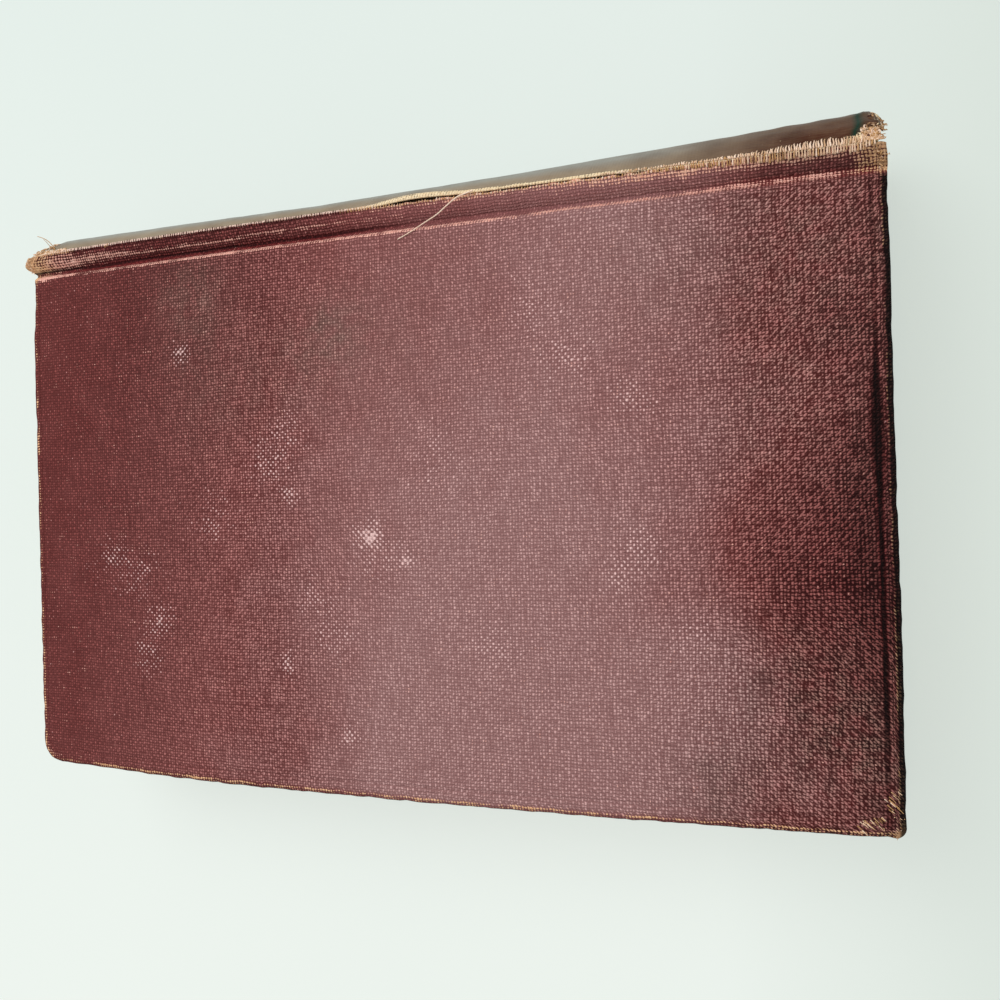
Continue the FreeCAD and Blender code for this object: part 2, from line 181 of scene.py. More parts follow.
# %% Meshes from grids
def grid_faces(rows, columns, first=0):
    """Corners of the faces between neighbouring points of a grid counted row by row."""
    start = first + np.arange(rows - 1)[:, None] * columns + np.arange(columns - 1)[None, :]
    start = start.ravel()
    return np.stack([start, start + 1, start + columns + 1, start + columns], axis=1)


def make_mesh(name, points, faces, flat, masks):
    """A mesh in metres from points in millimetres, with the UV map flat and one number a mask."""
    mesh = bpy.data.meshes.new(name)
    mesh.from_pydata((points * MM).tolist(), [], faces.tolist())
    layer = mesh.uv_layers.new(name="flat")
    layer.data.foreach_set("uv", (flat * MM)[faces.ravel()].ravel().astype(np.float32))
    for mask, values in masks.items():
        column = mesh.attributes.new(mask, "FLOAT", "POINT")
        column.data.foreach_set("value", np.asarray(values, np.float32).ravel())
    return mesh


def grid_mesh(name, points, flat, masks, flip=False):
    """One open sheet from arrays of rows x columns x 3, turned over where flip is set."""
    rows, columns = points.shape[:2]
    faces = grid_faces(rows, columns)
    if flip:
        faces = faces[:, ::-1]
    masks = {mask: np.broadcast_to(values, (rows, columns)) for mask, values in masks.items()}
    return make_mesh(name, points.reshape(-1, 3), faces, flat.reshape(-1, 2), masks)


def weld(mesh, distance=0.004):
    """Joins the points that lie on each other, so that seams and folded-up rows close."""
    shell = bmesh.new()
    shell.from_mesh(mesh)
    bmesh.ops.remove_doubles(shell, verts=shell.verts, dist=distance * MM)
    shell.to_mesh(mesh)
    shell.free()


def add_piece(name, mesh, material, body, stands_for=()):
    """Shows a mesh as a piece that rides on a body and stands for the named CAD nodes."""
    piece = bpy.data.objects.new(name, mesh)
    bpy.context.collection.objects.link(piece)
    mesh.polygons.foreach_set("use_smooth", np.ones(len(mesh.polygons), bool))
    mesh.materials.append(material)
    if body:
        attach(piece, body)
    if stands_for:
        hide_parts(*stands_for)
    print(name, len(mesh.polygons), "faces")
    return piece


def thicken(piece, thickness):
    """Gives a sheet its thickness, behind the face that it shows."""
    wall = piece.modifiers.new("thickness", "SOLIDIFY")
    wall.thickness = thickness * MM
    wall.offset = -1.0
    wall.use_even_offset = False
    return wall


# %% [markdown]
# ## Shader helpers
#
# A material is a net of nodes. Written out node by node it hides what it does, so a small
# writer adds a node for each step of a formula, and the formula stays readable. Colours are
# written as they would be picked on a screen and turned into the linear values that Blender
# works with.

# %% The node writer
def screen_colour(red, green, blue):
    """Linear colour from screen values of 0 to 255."""
    share = np.array([red, green, blue]) / 255.0
    low, high = share / 12.92, ((share + 0.055) / 1.055) ** 2.4
    return (*np.where(share <= 0.04045, low, high).tolist(), 1.0)


class NodeWriter:
    """Adds nodes to a tree, each joined to the values that it is given."""

    def __init__(self, tree):
        self.tree = tree

    def add(self, kind, inputs, output=0, **settings):
        """One node with its inputs, which are sockets or plain values, and one of its outputs."""
        node = self.tree.nodes.new(kind)
        for setting, value in settings.items():
            setattr(node, setting, value)
        for key, value in inputs.items():
            if isinstance(value, bpy.types.NodeSocket):
                self.tree.links.new(value, node.inputs[key])
            else:
                node.inputs[key].default_value = value
        return node.outputs[output]

    def math(self, operation, *values, clamp=False):
        """A sum, product or other step on numbers."""
        inputs = dict(enumerate(values))
        return self.add("ShaderNodeMath", inputs, operation=operation, use_clamp=clamp)

    def flat(self):
        """The coordinates that follow the cloth."""
        return self.add("ShaderNodeUVMap", {}, "UV", uv_map="flat")

    def place(self):
        """The object's own coordinates, for what has no weave to follow."""
        return self.add("ShaderNodeTexCoord", {}, "Object")

    def mask(self, name):
        """The number that each point of the mesh carries under this name."""
        return self.add("ShaderNodeAttribute", {}, "Fac", attribute_name=name)

    def mix(self, share, first, second, blend="MIX"):
        """Two colours mixed by a share of 0 to 1. A colour is a socket or three screen values."""
        inputs = {0: share, 6: first, 7: second}
        for key in (6, 7):
            if isinstance(inputs[key], tuple):
                inputs[key] = screen_colour(*inputs[key])
        return self.add("ShaderNodeMix", inputs, 2, data_type="RGBA", blend_type=blend)

    def noise(self, place, size, detail=3.0, roughness=0.55):
        """Cloudy noise of 0 to 1 whose patches are about size millimetres across."""
        inputs = {"Vector": place, "Scale": 1.0 / (size * MM), "Detail": detail}
        return self.add("ShaderNodeTexNoise", {**inputs, "Roughness": roughness}, "Fac")

    def range(self, value, low, high, to_low=0.0, to_high=1.0):
        """A value between low and high moved to another range, and held at its ends."""
        return self.add("ShaderNodeMapRange", {0: value, 1: low, 2: high, 3: to_low, 4: to_high})

    def stretched(self, place, factors, turn=0.0):
        """Coordinates multiplied by one factor an axis, to stretch a pattern."""
        mapping = {"Vector": place, "Scale": factors, "Rotation": (0.0, 0.0, turn)}
        return self.add("ShaderNodeMapping", mapping)

    def group(self, tree, inputs, output=0):
        """A node group with its inputs, which are set by name."""
        return self.add("ShaderNodeGroup", inputs, output, node_tree=tree)


print("cloth colour", [round(value, 3) for value in screen_colour(82, 30, 29)])

# %% [markdown]
# ## Groups and materials
#
# A pattern that several finishes share is a node group, made once. Every material here starts
# from one Principled shader and ends with a colour and a height for it.

# %% Groups and materials
def new_group(name, inputs, outputs):
    """An empty node group with typed sockets, a writer for it, and its two ends."""
    tree = bpy.data.node_groups.new(name, "ShaderNodeTree")
    for side, sockets in (("INPUT", inputs), ("OUTPUT", outputs)):
        for key, kind in sockets.items():
            tree.interface.new_socket(key, in_out=side, socket_type="NodeSocket" + kind)
    first, last = (tree.nodes.new("NodeGroup" + side) for side in ("Input", "Output"))
    return tree, NodeWriter(tree), first, last


def new_material(name, roughness, **plain):
    """A material with one Principled shader, whose even values are set on its own sockets."""
    material = bpy.data.materials.new(name)
    material.use_nodes = True
    shader = material.node_tree.nodes["Principled BSDF"]
    shader.inputs["Roughness"].default_value = roughness
    for key, value in plain.items():
        shader.inputs[key.replace("_", " ")].default_value = value
    return material, NodeWriter(material.node_tree), shader


def finish_material(writer, shader, colour, height=None, depth=0.1, roughness=None):
    """Joins a colour, a height in millimetres and a roughness to the shader."""
    links = writer.tree.links
    links.new(colour, shader.inputs["Base Color"])
    if height is not None:
        relief = {"Height": height, "Distance": depth * MM, "Strength": 1.0}
        bump = writer.add("ShaderNodeBump", relief, "Normal")
        links.new(bump, shader.inputs["Normal"])
    if roughness is not None:
        links.new(roughness, shader.inputs["Roughness"])


# %% [markdown]
# ## The weave
#
# Book cloth is a plain weave: every thread goes over one crossing thread and under the next. A
# photo of real cloth would give this pattern, but a formula needs no picture and stays sharp.
# With a and b as sines across the two sets of threads, a thread's crown is |a| where a times b
# is positive, and the crossing thread's crown is |b| where it is negative. The higher of the
# two is the cloth's height. Where the cloth was pulled askew its crowns join into slanting ribs:
# the product of the cosines, added by a slant of 0 to 1, does that. The threads of real cloth
# differ in thickness, so the coordinates are bent a little by noise first.

# %% Weave group
weave_tree, weave, ends, out = new_group(
    "plain_weave",
    {"Flat": "Vector", "Pitch": "Float", "Bend": "Float", "Slant": "Float"},
    {"Height": "Float", "Crown": "Float"},
)
uneven = {"Vector": ends.outputs["Flat"], "Scale": 170.0, "Detail": 4.0, "Roughness": 0.7}
bend = weave.add("ShaderNodeTexNoise", uneven, "Color")
bend = weave.add("ShaderNodeVectorMath", {0: bend, 1: (0.5, 0.5, 0.5)}, operation="SUBTRACT")
scaled = {0: bend, "Scale": ends.outputs["Bend"]}
bend = weave.add("ShaderNodeVectorMath", scaled, operation="SCALE")
bent = weave.add("ShaderNodeVectorMath", {0: ends.outputs["Flat"], 1: bend}, operation="ADD")
turns = weave.math("DIVIDE", HALF_TURN, ends.outputs["Pitch"])
angles = [weave.add("ShaderNodeSeparateXYZ", {0: bent}, axis) for axis in "XY"]
angles = [weave.math("MULTIPLY", angle, turns) for angle in angles]
across, along = (weave.math("SINE", angle) for angle in angles)
between = weave.math("MULTIPLY", *(weave.math("COSINE", angle) for angle in angles))
product = weave.math("MULTIPLY", across, along)
product = weave.math("MULTIPLY_ADD", between, ends.outputs["Slant"], product)
over = weave.math("ADD", weave.math("ABSOLUTE", across), product)
under = weave.math("SUBTRACT", weave.math("ABSOLUTE", along), product)
height = weave.math("MULTIPLY", weave.math("MAXIMUM", over, under), 0.5)
crown = weave.math("MULTIPLY", weave.math("ADD", product, 1.0), 0.5)
weave.tree.links.new(height, out.inputs["Height"])
weave.tree.links.new(crown, out.inputs["Crown"])
print("weave nodes", len(weave_tree.nodes))

# %% [markdown]
# ## Maroon cover cloth
#
# The cloth is paler, a pinkish grey, over the middle of the cover: partly faded dye and partly
# a painted sheen of reflected light. It stays deep maroon near the head, the tail and in the
# joint. Where the cloth was rubbed, the crowns of its threads are bare first, so wear is compared
# with the height of the weave: light wear shows specks on the crowns, and heavy wear shows the
# whole undyed cloth.

# %% Cover cloth material
def rubbed(writer, wear, height, place):
    """1 where wear reaches the bare thread: the wear, three quarters of the weave's height and
    two noises add up past a limit."""
    fine = writer.noise(place, 0.9, detail=2.0, roughness=0.7)
    patchy = writer.noise(place, 3.2, detail=3.0, roughness=0.6)
    total = writer.math("MULTIPLY_ADD", height, 0.75, wear)
    total = writer.math("MULTIPLY_ADD", fine, 1.0, total)
    total = writer.math("MULTIPLY_ADD", patchy, 0.9, total)
    return writer.range(total, 1.8, 2.0)


def grey_colour(writer, value):
    """A grey colour from a number, to multiply another colour by."""
    return writer.add("ShaderNodeCombineColor", {0: value, 1: value, 2: value})


def dye_ramp(writer, fade_and_sheen, fresh, half, gone):
    """Colour as the cloth pales by fading and painted sheen: fresh at 0, half gone at 0.45, palest
    at 1.
    """
    first = writer.mix(writer.range(fade_and_sheen, 0.0, 0.45), fresh, half)
    return writer.mix(writer.range(fade_and_sheen, 0.45, 1.0), first, gone)


def clouded(writer, cloud, amount, mask):
    """A mask made uneven: the noise less a half, times the amount, is added to it."""
    middle = writer.math("SUBTRACT", cloud, 0.5)
    return writer.math("MULTIPLY_ADD", middle, amount, writer.mask(mask), clamp=True)


# Noises that make threads differ: how the cloth is stretched for them, their size and spread.
THREAD_NOISES = (
    ((1.0, 1.0, 1.0), 0.8, 0.7),
    ((1.0, 1.0, 1.0), 0.28, 0.6),
    ((0.07, 1.0, 1.0), 0.6, 0.3),
    ((1.0, 0.09, 1.0), 0.55, 0.5),
)


def thread_tone(writer, flat, height, crown):
    """How bright each spot of the weave is: a power of the crown and a power of the height are
    added, less a little, and four noises multiply them, for crowns, fibres and whole threads.
    High crowns come out lighter, partly worn and partly a painted highlight, and the low gaps
    darker as painted shade."""
    tone = writer.math("MULTIPLY", writer.math("POWER", crown, 3.2), 0.8)
    tone = writer.math("MULTIPLY_ADD", writer.math("POWER", height, 2.2), 0.62, tone)
    tone = writer.math("SUBTRACT", tone, 0.04)
    for factors, size, spread in THREAD_NOISES:
        uneven = writer.noise(writer.stretched(flat, factors), size, detail=1.0)
        uneven = writer.range(uneven, 0.34, 0.66, 1.0 - spread, 1.0 + spread)
        tone = writer.math("MULTIPLY", tone, uneven)
    return tone


# Dirt on the cloth: its mask, the noise at its densest, its least and greatest share, and its
# colours between the threads and on their crowns.
DIRT = (
    ("smudge", 0.64, 0.12, 0.62, (66, 42, 38), (166, 136, 124)),
    ("stain", 0.6, 0.15, 1.0, (26, 10, 10), (140, 108, 96)),
)

# %% [markdown]
# ## The layers of the cover's finish
#
# The finish is put on in layers: dye, its fading and a painted sheen first, then dirt, then pale
# scuffs, then bare threads, and last the painted shade of the creases, the rule and the edges.

# %% Layers of the cover's finish
def make_cover_material():
    """Faded, stained and rubbed maroon cloth, from the masks that the cover cloths carry."""
    material, writer, shader = new_material("maroon_book_cloth", 0.75, Specular_IOR_Level=0.1)
    flat = writer.flat()
    woven = {"Flat": flat, "Pitch": THREAD * MM, "Bend": 0.001, "Slant": writer.mask("slant")}
    height = writer.group(weave_tree, woven, "Height")
    crown = writer.group(weave_tree, woven, "Crown")
    cloud = writer.noise(flat, 9.0, detail=5.0)
    single = writer.noise(flat, 0.8, detail=1.0)
    # The fading mask, which also holds a painted sheen of reflected light, pales the dye.
    fade_and_sheen = clouded(writer, cloud, 0.36, "fade_and_sheen")
    deep, polish = writer.mask("deep"), writer.mask("polish")
    dyed = dye_ramp(writer, fade_and_sheen, (34, 3, 4), (82, 30, 29), (112, 68, 67))
    # Deep: the dye kept in the joint, with the painted shade of rule, verges and crease as deeper
    # red.
    dyed = writer.mix(deep, dyed, (70, 6, 10))
    # Worn: the colour of the crowns, paler partly from wear and partly as a painted highlight.
    worn = dye_ramp(writer, fade_and_sheen, (146, 80, 76), (184, 120, 116), (206, 163, 160))
    worn = writer.mix(deep, worn, (166, 66, 66))
    tone = thread_tone(writer, flat, height, crown)
    rest = writer.math("MULTIPLY", polish, 0.42)
    tone = writer.math("MULTIPLY_ADD", tone, writer.math("SUBTRACT", 1.0, polish), rest, clamp=True)
    # The tone gives crown colour to the high threads and gap colour, as painted shade, between
    # them.
    colour = writer.mix(tone, dyed, worn)
    patch = writer.noise(flat, 4.0, detail=6.0, roughness=0.65)
    for mask, dense, least, most, between, crowns in DIRT:
        share = writer.range(patch, 0.36, dense, least, most)
        share = writer.math("MULTIPLY", writer.mask(mask), share)
        colour = writer.mix(share, colour, writer.mix(tone, between, crowns))
    peak = writer.math("MULTIPLY", writer.math("POWER", crown, 2.0), 0.75)
    scuff = writer.math("MULTIPLY_ADD", writer.mask("scuff"), 0.95, peak)
    spark = writer.noise(writer.stretched(flat, (0.5, 1.0, 1.0), 0.8), 1.3, detail=3.0)
    spark = writer.math("MULTIPLY_ADD", spark, 1.6, single)
    scuff = writer.math("MULTIPLY_ADD", spark, 0.75, scuff)
    scuff = writer.range(writer.math("MULTIPLY_ADD", patch, 0.9, scuff), 2.32, 2.7)
    colour = writer.mix(writer.math("MULTIPLY", scuff, 0.85), colour, (240, 200, 196))
    wear = rubbed(writer, writer.mask("wear"), height, flat)
    pink = writer.mix(single, (214, 128, 112), (250, 206, 190))
    tan = writer.mix(single, (190, 120, 76), (252, 212, 166))
    colour = writer.mix(wear, colour, writer.mix(writer.mask("tan"), pink, tan))
    # Painted shade: the colour is multiplied by one less the dark mask.
    shade = writer.math("SUBTRACT", 1.0, writer.mask("dark"))
    colour = writer.mix(1.0, colour, grey_colour(writer, shade), "MULTIPLY")
    finish_material(writer, shader, colour, height, 0.2)
    return material


cover_cloth_finish = make_cover_material()
print("cover cloth nodes", len(cover_cloth_finish.node_tree.nodes))

# %% [markdown]
# ## The shape of a cover's cloth
#
# The cloth is one sheet: it lies on the board, goes round its edges and is turned in by 14 mm.
# On the spine side it dips into the joint and climbs to the ridge. Cutting it from a block would
# leave hard steps, so it is a grid instead. Its rows are lines at one inset from the edge, from
# the middle of the cover over the edge to the end of the turn-in. Its columns follow each line
# in a U: down the tail, round a corner, along the fore-edge, round the other corner and up the
# head.

# %% Joint profile
JOINT_STEPS = np.array([-1.1, -0.6, -0.2, 0.1, 0.4, 0.75, 1.15, 1.5, 1.8, 2.15, 2.6, 3.4, 4.4, 5.5])
JOINT_LEVELS = np.array(
    [30.9, 30.86, 30.7, 30.38, 29.85, 29.2, 28.65, 28.34, 28.22, 28.55, 29.0, 29.6, 30.1, 30.48]
)


def joint_level(y):
    """Height of the cloth's face at rest across the joint, eased between the measured steps."""
    fine = np.linspace(JOINT_STEPS[0], JOINT_STEPS[-1], 133)
    level = np.interp(fine, JOINT_STEPS, JOINT_LEVELS)
    for _ in range(3):
        level[1:-1] = 0.25 * level[:-2] + 0.5 * level[1:-1] + 0.25 * level[2:]
    return np.interp(y - EDGE, fine, level)


def flat_y(y):
    """Y measured along the cloth: the length of the joint profile is added up past its start."""
    fine = np.linspace(EDGE - 2.0, JOINT_END, 160)
    length = np.hypot(np.diff(fine), np.diff(joint_level(fine)))
    along = fine[0] + np.concatenate([[0.0], np.cumsum(length)])
    return np.where(y < fine[0], y, np.interp(y, fine, along))


print("joint length along the cloth", round(float(flat_y(np.array(JOINT_END))) - EDGE, 2), "mm")

# %% [markdown]
# ## The grid of a cover
#
# The real cloth is folded over the board's edges and turned in. The rows lie close together
# where it bends, and wide apart on the flat face, so that few points make a round edge.

# %% Rows and columns of a cover's cloth
OUTER_ROUND, INNER_ROUND, TURN_IN = 0.85, 0.6, 14.0
TAIL_CORNER, HEAD_CORNER = 5.0, 1.6
PLAIN_Y = EDGE - 6.5


def edge_rows():
    """For each row its inset, its share of the way from the outer level to the inner one, and the
    length of cloth past the edge, from the middle of the cover to the end of the turn-in."""
    face = [np.arange(HALF_LENGTH, 6.0, -1.5), np.arange(5.5, OUTER_ROUND + 0.1, -0.25)]
    face = np.concatenate(face)
    turn = np.radians(np.arange(0.0, 91.0, 15.0))
    depth = TOP - TURN_IN_LEVEL
    inset = [face, OUTER_ROUND * (1 - np.sin(turn)), np.zeros(5), INNER_ROUND * (1 - np.cos(turn))]
    share = [0 * face, OUTER_ROUND * (1 - np.cos(turn)) / depth]
    share.append(np.linspace(OUTER_ROUND / depth, 1 - INNER_ROUND / depth, 7)[1:-1])
    share.append(1 - INNER_ROUND * (1 - np.sin(turn)) / depth)
    inset.append(np.array([1.5, 4.0, 8.0, TURN_IN]))
    share.append(np.ones(4))
    inset, share = np.concatenate(inset), np.concatenate(share)
    length = np.concatenate([[0.0], np.cumsum(np.hypot(np.diff(inset), depth * np.diff(share)))])
    return inset, share, length - (HALF_LENGTH - OUTER_ROUND)


def corner_radius(inset, outer):
    """Radius of a corner at an inset: less by the inset, but no sharper than folded cloth."""
    return np.minimum(np.maximum(outer - inset, 0.6 + 0.1 * inset), 0.5 * (HALF_LENGTH - inset))


def u_lines(inset):
    """Plan of every row as X, Y and the outward direction, in one array of rows x columns x 4."""
    inset = inset[:, None]
    ones = np.ones_like(inset)
    tail, head = corner_radius(inset, TAIL_CORNER), corner_radius(inset, HEAD_CORNER)
    fine = [np.arange(JOINT_END, EDGE - 1.3, -0.25), np.arange(EDGE - 1.4, PLAIN_Y, -0.3)]
    fine = np.concatenate(fine)
    share = np.linspace(0.0, 1.0, 66)
    turn = np.radians(np.arange(9.0, 89.0, 9.0))

    def side(sign, radius):
        low = FORE + inset + radius
        y = np.concatenate([ones * fine, PLAIN_Y + (low - PLAIN_Y) * share], axis=1)
        x = sign * (HALF_LENGTH - inset) + 0 * y
        return np.stack([x, y, sign + 0 * y, 0 * y], axis=2)

    def corner(sign, radius):
        x = sign * (HALF_LENGTH - inset - radius + radius * np.cos(turn))
        y = FORE + inset + radius - radius * np.sin(turn)
        return np.stack([x, y, sign * ones * np.cos(turn), -ones * np.sin(turn)], axis=2)

    reach = 2 * HALF_LENGTH - 2 * inset - tail - head
    x = -HALF_LENGTH + inset + tail + np.linspace(0, 1, 128) * reach
    front = np.stack([x, FORE + inset + 0 * x, 0 * x, -1.0 + 0 * x], axis=2)
    head_side = [corner(1, head)[:, ::-1], side(1, head)[:, ::-1]]
    return np.concatenate([side(-1, tail), corner(-1, tail), front, *head_side], axis=1)


inset_rows, share_rows, past_rows = edge_rows()
plan = u_lines(inset_rows)
print("cover grid", plan.shape[:2])

# %% [markdown]
# ## Wear, fading, painted sheen and stains on a cover
#
# These masks are written as soft spots and ramps in millimetres on the cover, because a mask
# that is a number on each point also follows the cloth when the cover is opened. The fading,
# with a painted sheen of reflected light, rises from the tail, stays even over the middle and
# falls near the head. Scuffs lie in groups where the book slid over a table.

# %% Tables for the masks
RULE_INSETS = {"tail": 1.9, "fore": 3.1, "head": 2.4, "joint": 3.0}
RULE_WIDTH = 0.26

# How the fading and painted sheen rise from the tail and fall to the head, how bare the board's
# edge is, and how deep the dye stays in the joint: places in X with the value at each.
FADE_AND_SHEEN_RISE = [-95, -76, -52, -34, -13, 10, 25], [0.0, 0.08, 0.3, 0.5, 0.72, 0.94, 1.02]
FADE_AND_SHEEN_FALL = [34, 48, 60, 72, 88], [1.0, 0.9, 0.66, 0.2, 0.02]
EDGE_WEAR = [-95, -91, -86, -64, -44, 60, 76, 90], [1.0, 0.8, 0.5, 0.54, 0.68, 0.66, 0.45, 0.48]
JOINT_DYE = [-90, -76, -20, 0, 60, 76], [0.2, 0.8, 0.8, 0.4, 0.3, 0.8]

# Soft spots: X, Y, size and weight.
FADE_AND_SHEEN_SPOTS = (
    (82, 44, 17, 0.3), (80, 14, 12, 0.22), (66, -50, 16, 0.3), (14, -62, 34, 0.12),
    (66, -38, 13, 0.46), (72, 2, 13, 0.16), (86, -56, 14, 0.36), (66, 10, 12, 0.14),
    (20, 32, 26, -0.16), (-26, -52, 14, -0.16), (12, -50, 14, 0.26), (14, -26, 12, 0.12),
    (50, 14, 14, -0.14), (50, -28, 10, -0.1), (58, 40, 14, 0.1), (12, -52, 14, 0.08),
)
STAIN_SPOTS = (88, -50, 11, 0.75), (78, -38, 10, 0.5), (64, -58, 9, 0.5)
SMUDGE_SPOTS = (
    (-15, 31, 7, 0.9), (-50, 41, 8, 0.9), (-24, 24, 11, 0.5), (-44, 18, 12, 0.3),
    (82, 40, 18, 0.55), (76, 10, 12, 0.3), (56, 38, 13, 0.35), (-4, 30, 14, 0.25),
    (-47, 28, 12, 0.25),
)
SCUFFS = (
    (-7, -12, 4.0, 1.0), (1, -17, 2.2, 0.95), (-5, -15, 6.5, 0.55), (-26, -3, 3.0, 0.8),
    (-31, 4, 6.0, 0.62), (-27, 10, 6.0, 0.55), (-53, 29, 3.0, 0.75), (-73, -16, 4.5, 0.62),
    (-67, -20, 7.0, 0.5), (-61, -31, 5.0, 0.66), (-64, -38, 5.0, 0.55), (-13, -53, 3.0, 0.7),
    (-28, -39, 3.5, 0.66), (-16, -32, 7.0, 0.5), (-20, -24, 6.0, 0.5), (49, 13, 5.0, 0.6),
    (36, 22, 7.0, 0.5), (50, -15, 5.0, 0.66), (46, -20, 5.5, 0.55), (20, -34, 6.0, 0.5),
    (30, 32, 7.0, 0.46), (60, -30, 5.0, 0.45), (-46, -8, 7.0, 0.42), (8, 4, 8.0, 0.4),
)
print("scuffs", len(SCUFFS), "other spots", len(FADE_AND_SHEEN_SPOTS + STAIN_SPOTS + SMUDGE_SPOTS))

# %% [markdown]
# ## Fading with painted sheen, dirt and scuffs
#
# Light and hands change a cover slowly, in soft patches, and the paler middle also holds a
# painted sheen of reflected light. Painting them on would need an image, so they are sums of
# soft spots, and the scuffs are the strongest spot at each point.

# %% Masks on the face
def spots(x, y, table):
    """The weighted soft spots of a table, one array each."""
    return [weight * spot(x, y, row[:2], row[2]) for *row, weight in table]


def crushed(y):
    """1 where the rule at the head is crushed, 6 mm past the middle, and less away from there."""
    return np.exp(-((y - 6.0) / 10.0) ** 2)


def face_masks(x, y, across, past, upper):
    """Fading with a painted sheen, stains, smudges, scuffs, polish and the slant of pulled cloth.
    """
    # Fading and a painted sheen of reflected light, in one mask that pales the cloth.
    rise = np.interp(x - 0.3 * y - 0.1 * np.abs(y), *FADE_AND_SHEEN_RISE)
    fall = np.interp(x - 0.06 * np.abs(y + 22), *FADE_AND_SHEEN_FALL)
    fade_and_sheen = rise * fall + sum(spots(x, y, FADE_AND_SHEEN_SPOTS))
    dyed_joint = 1 - ramp(x, -30.0, 0.0) * ramp(-x, -76.0, -62.0)
    fade_and_sheen = fade_and_sheen * (1 - 0.5 * ramp(past, -1.2, 0.6))
    fade_and_sheen = fade_and_sheen * (1 - 0.3 * ramp(across, -0.5, 1.0) * dyed_joint)
    on_board = across < -0.5
    dusty = 0.26 * ramp(x, 58.0, 74.0) * (1 - 0.8 * spot(x, y, (86, -20), 15)) * on_board
    smudge = sum(spots(x, y, SMUDGE_SPOTS)) + dusty
    scuff = np.maximum.reduce(spots(x, y, SCUFFS))
    if not upper:
        scuff, smudge = scuff[:, ::-1], smudge[:, ::-1]
    polish = np.clip(0.7 - (x + 92.0) / 100.0, 0.0, 0.66) * (1 - 0.5 * ramp(across, -0.5, 0.5))
    polish = np.maximum(polish, 0.45 * ramp(x, -40.0, -5.0) * ramp(-x, -86.0, -36.0))
    polish = polish - 0.35 * ramp(x, 50.0, 92.0) * on_board
    polish = polish + 0.25 * ramp(across, 0.2, 1.0) * ramp(x, -20.0, 20.0)
    slant = 0.5 * ramp(x, 52.0, 80.0) * ramp(-across, 0.0, 2.0) * (1 - 2 * ramp(-y, 14.0, 34.0))
    slant = slant + 0.12 * waves(x, y, 45.0, 49 + upper)
    masks = {"fade_and_sheen": fade_and_sheen, "stain": sum(spots(x, y, STAIN_SPOTS)), "smudge": smudge}
    return {**masks, "scuff": scuff, "polish": polish, "slant": slant}


middle = np.zeros((1, 1))
# The fade and painted sheen mask at the middle of the cover.
middle_fade_and_sheen = face_masks(middle, middle, middle - EDGE, middle - 50.0, 1)["fade_and_sheen"]
print("fading in the middle of the cover", round(float(middle_fade_and_sheen[0, 0]), 2))

# %% [markdown]
# ## Bare threads and painted shade
#
# Cloth wears where it is bent or knocked: on the board's edge, in the joint and at the corners.
# Creases, the groove of the blind rule and the rounded edges get painted shade, and the face is
# made darker near the head. Each such place is a narrow bell or a ramp of its own, and the
# strongest one counts.

# %% Masks of bare cloth and painted shade
def bare_masks(x, y, across, past, upper, along, short):
    """Bare threads on the board's edge, on the lip and middle of the joint, at its two ends, on
    the rim and on the corners, and where these threads are tan."""
    head = ramp(x, 45.0, 85.0)
    line = 0.05 + 0.45 * ramp(x, 24.0, 38.0) + 0.75 * head
    wide = 0.55 + 0.3 * head + 0.3 * ramp(-x, 86.0, 92.0)
    edge_line = np.exp(-((across - line) / wide) ** 2)
    edge_line = edge_line * (np.interp(x, *EDGE_WEAR) + 0.1 * along + 0.14 * short)
    lip = 0.1 + 0.15 * along + 0.6 * ramp(x, -14.0, 0.0) * (1 - ramp(x, 30.0, 70.0))
    under_ribs = (0.56 + 0.08 * short) * ramp(x, 26.0, 50.0) * ramp(across, 2.9, 4.7)
    lip = np.maximum(ramp(across, 4.2, 5.3) * lip, under_ribs)
    wide = 0.35 + 0.8 * ramp(-x, 62.0, 82.0)
    middle = np.exp(-((across - 3.2 + 0.3 * along) / wide) ** 2)
    patches = 0.5 * ramp(-x, -30.0, 40.0) + 0.12 * ramp(-x, 60.0, 84.0)
    patches = middle * patches * (1 + 0.2 * short)
    tail_end = 0.56 * ramp(-x, 78.0, 88.0) + 0.9 * ramp(-x, 91.5, 94.5)
    tail_end = ramp(across, 1.7, 2.2) * tail_end
    head_end = 0.45 * ramp(x + 0.8 * short, 86.5, 90.0) + 0.26 * ramp(x, 91.0, 94.5)
    head_end = ramp(across, 0.4, 1.4) * head_end
    rim = 0.42 + 0.16 * waves(x + y, x - y, 15.0, 43 + upper)
    rim = np.exp(-((past - 0.1) / 0.55) ** 2) * rim * (0.7 + 0.3 * ramp(-y, 20.0, 50.0))
    corners = 0.85 * spot(x, y, (95, FORE), 3.0) + 0.45 * spot(x, y, (-94, FORE), 4.0)
    corners = corners * ramp(past, -2.4, -0.2)
    joint_ends = ramp(np.abs(x), 87.0, 92.0) * ramp(across, 0.2, 1.5)
    return {
        "wear": np.maximum.reduce([edge_line, lip, patches, tail_end, head_end, rim, corners]),
        "tan": np.maximum.reduce([joint_ends, ramp(past, -1.0, 0.0), 0.6 * lip]),
    }


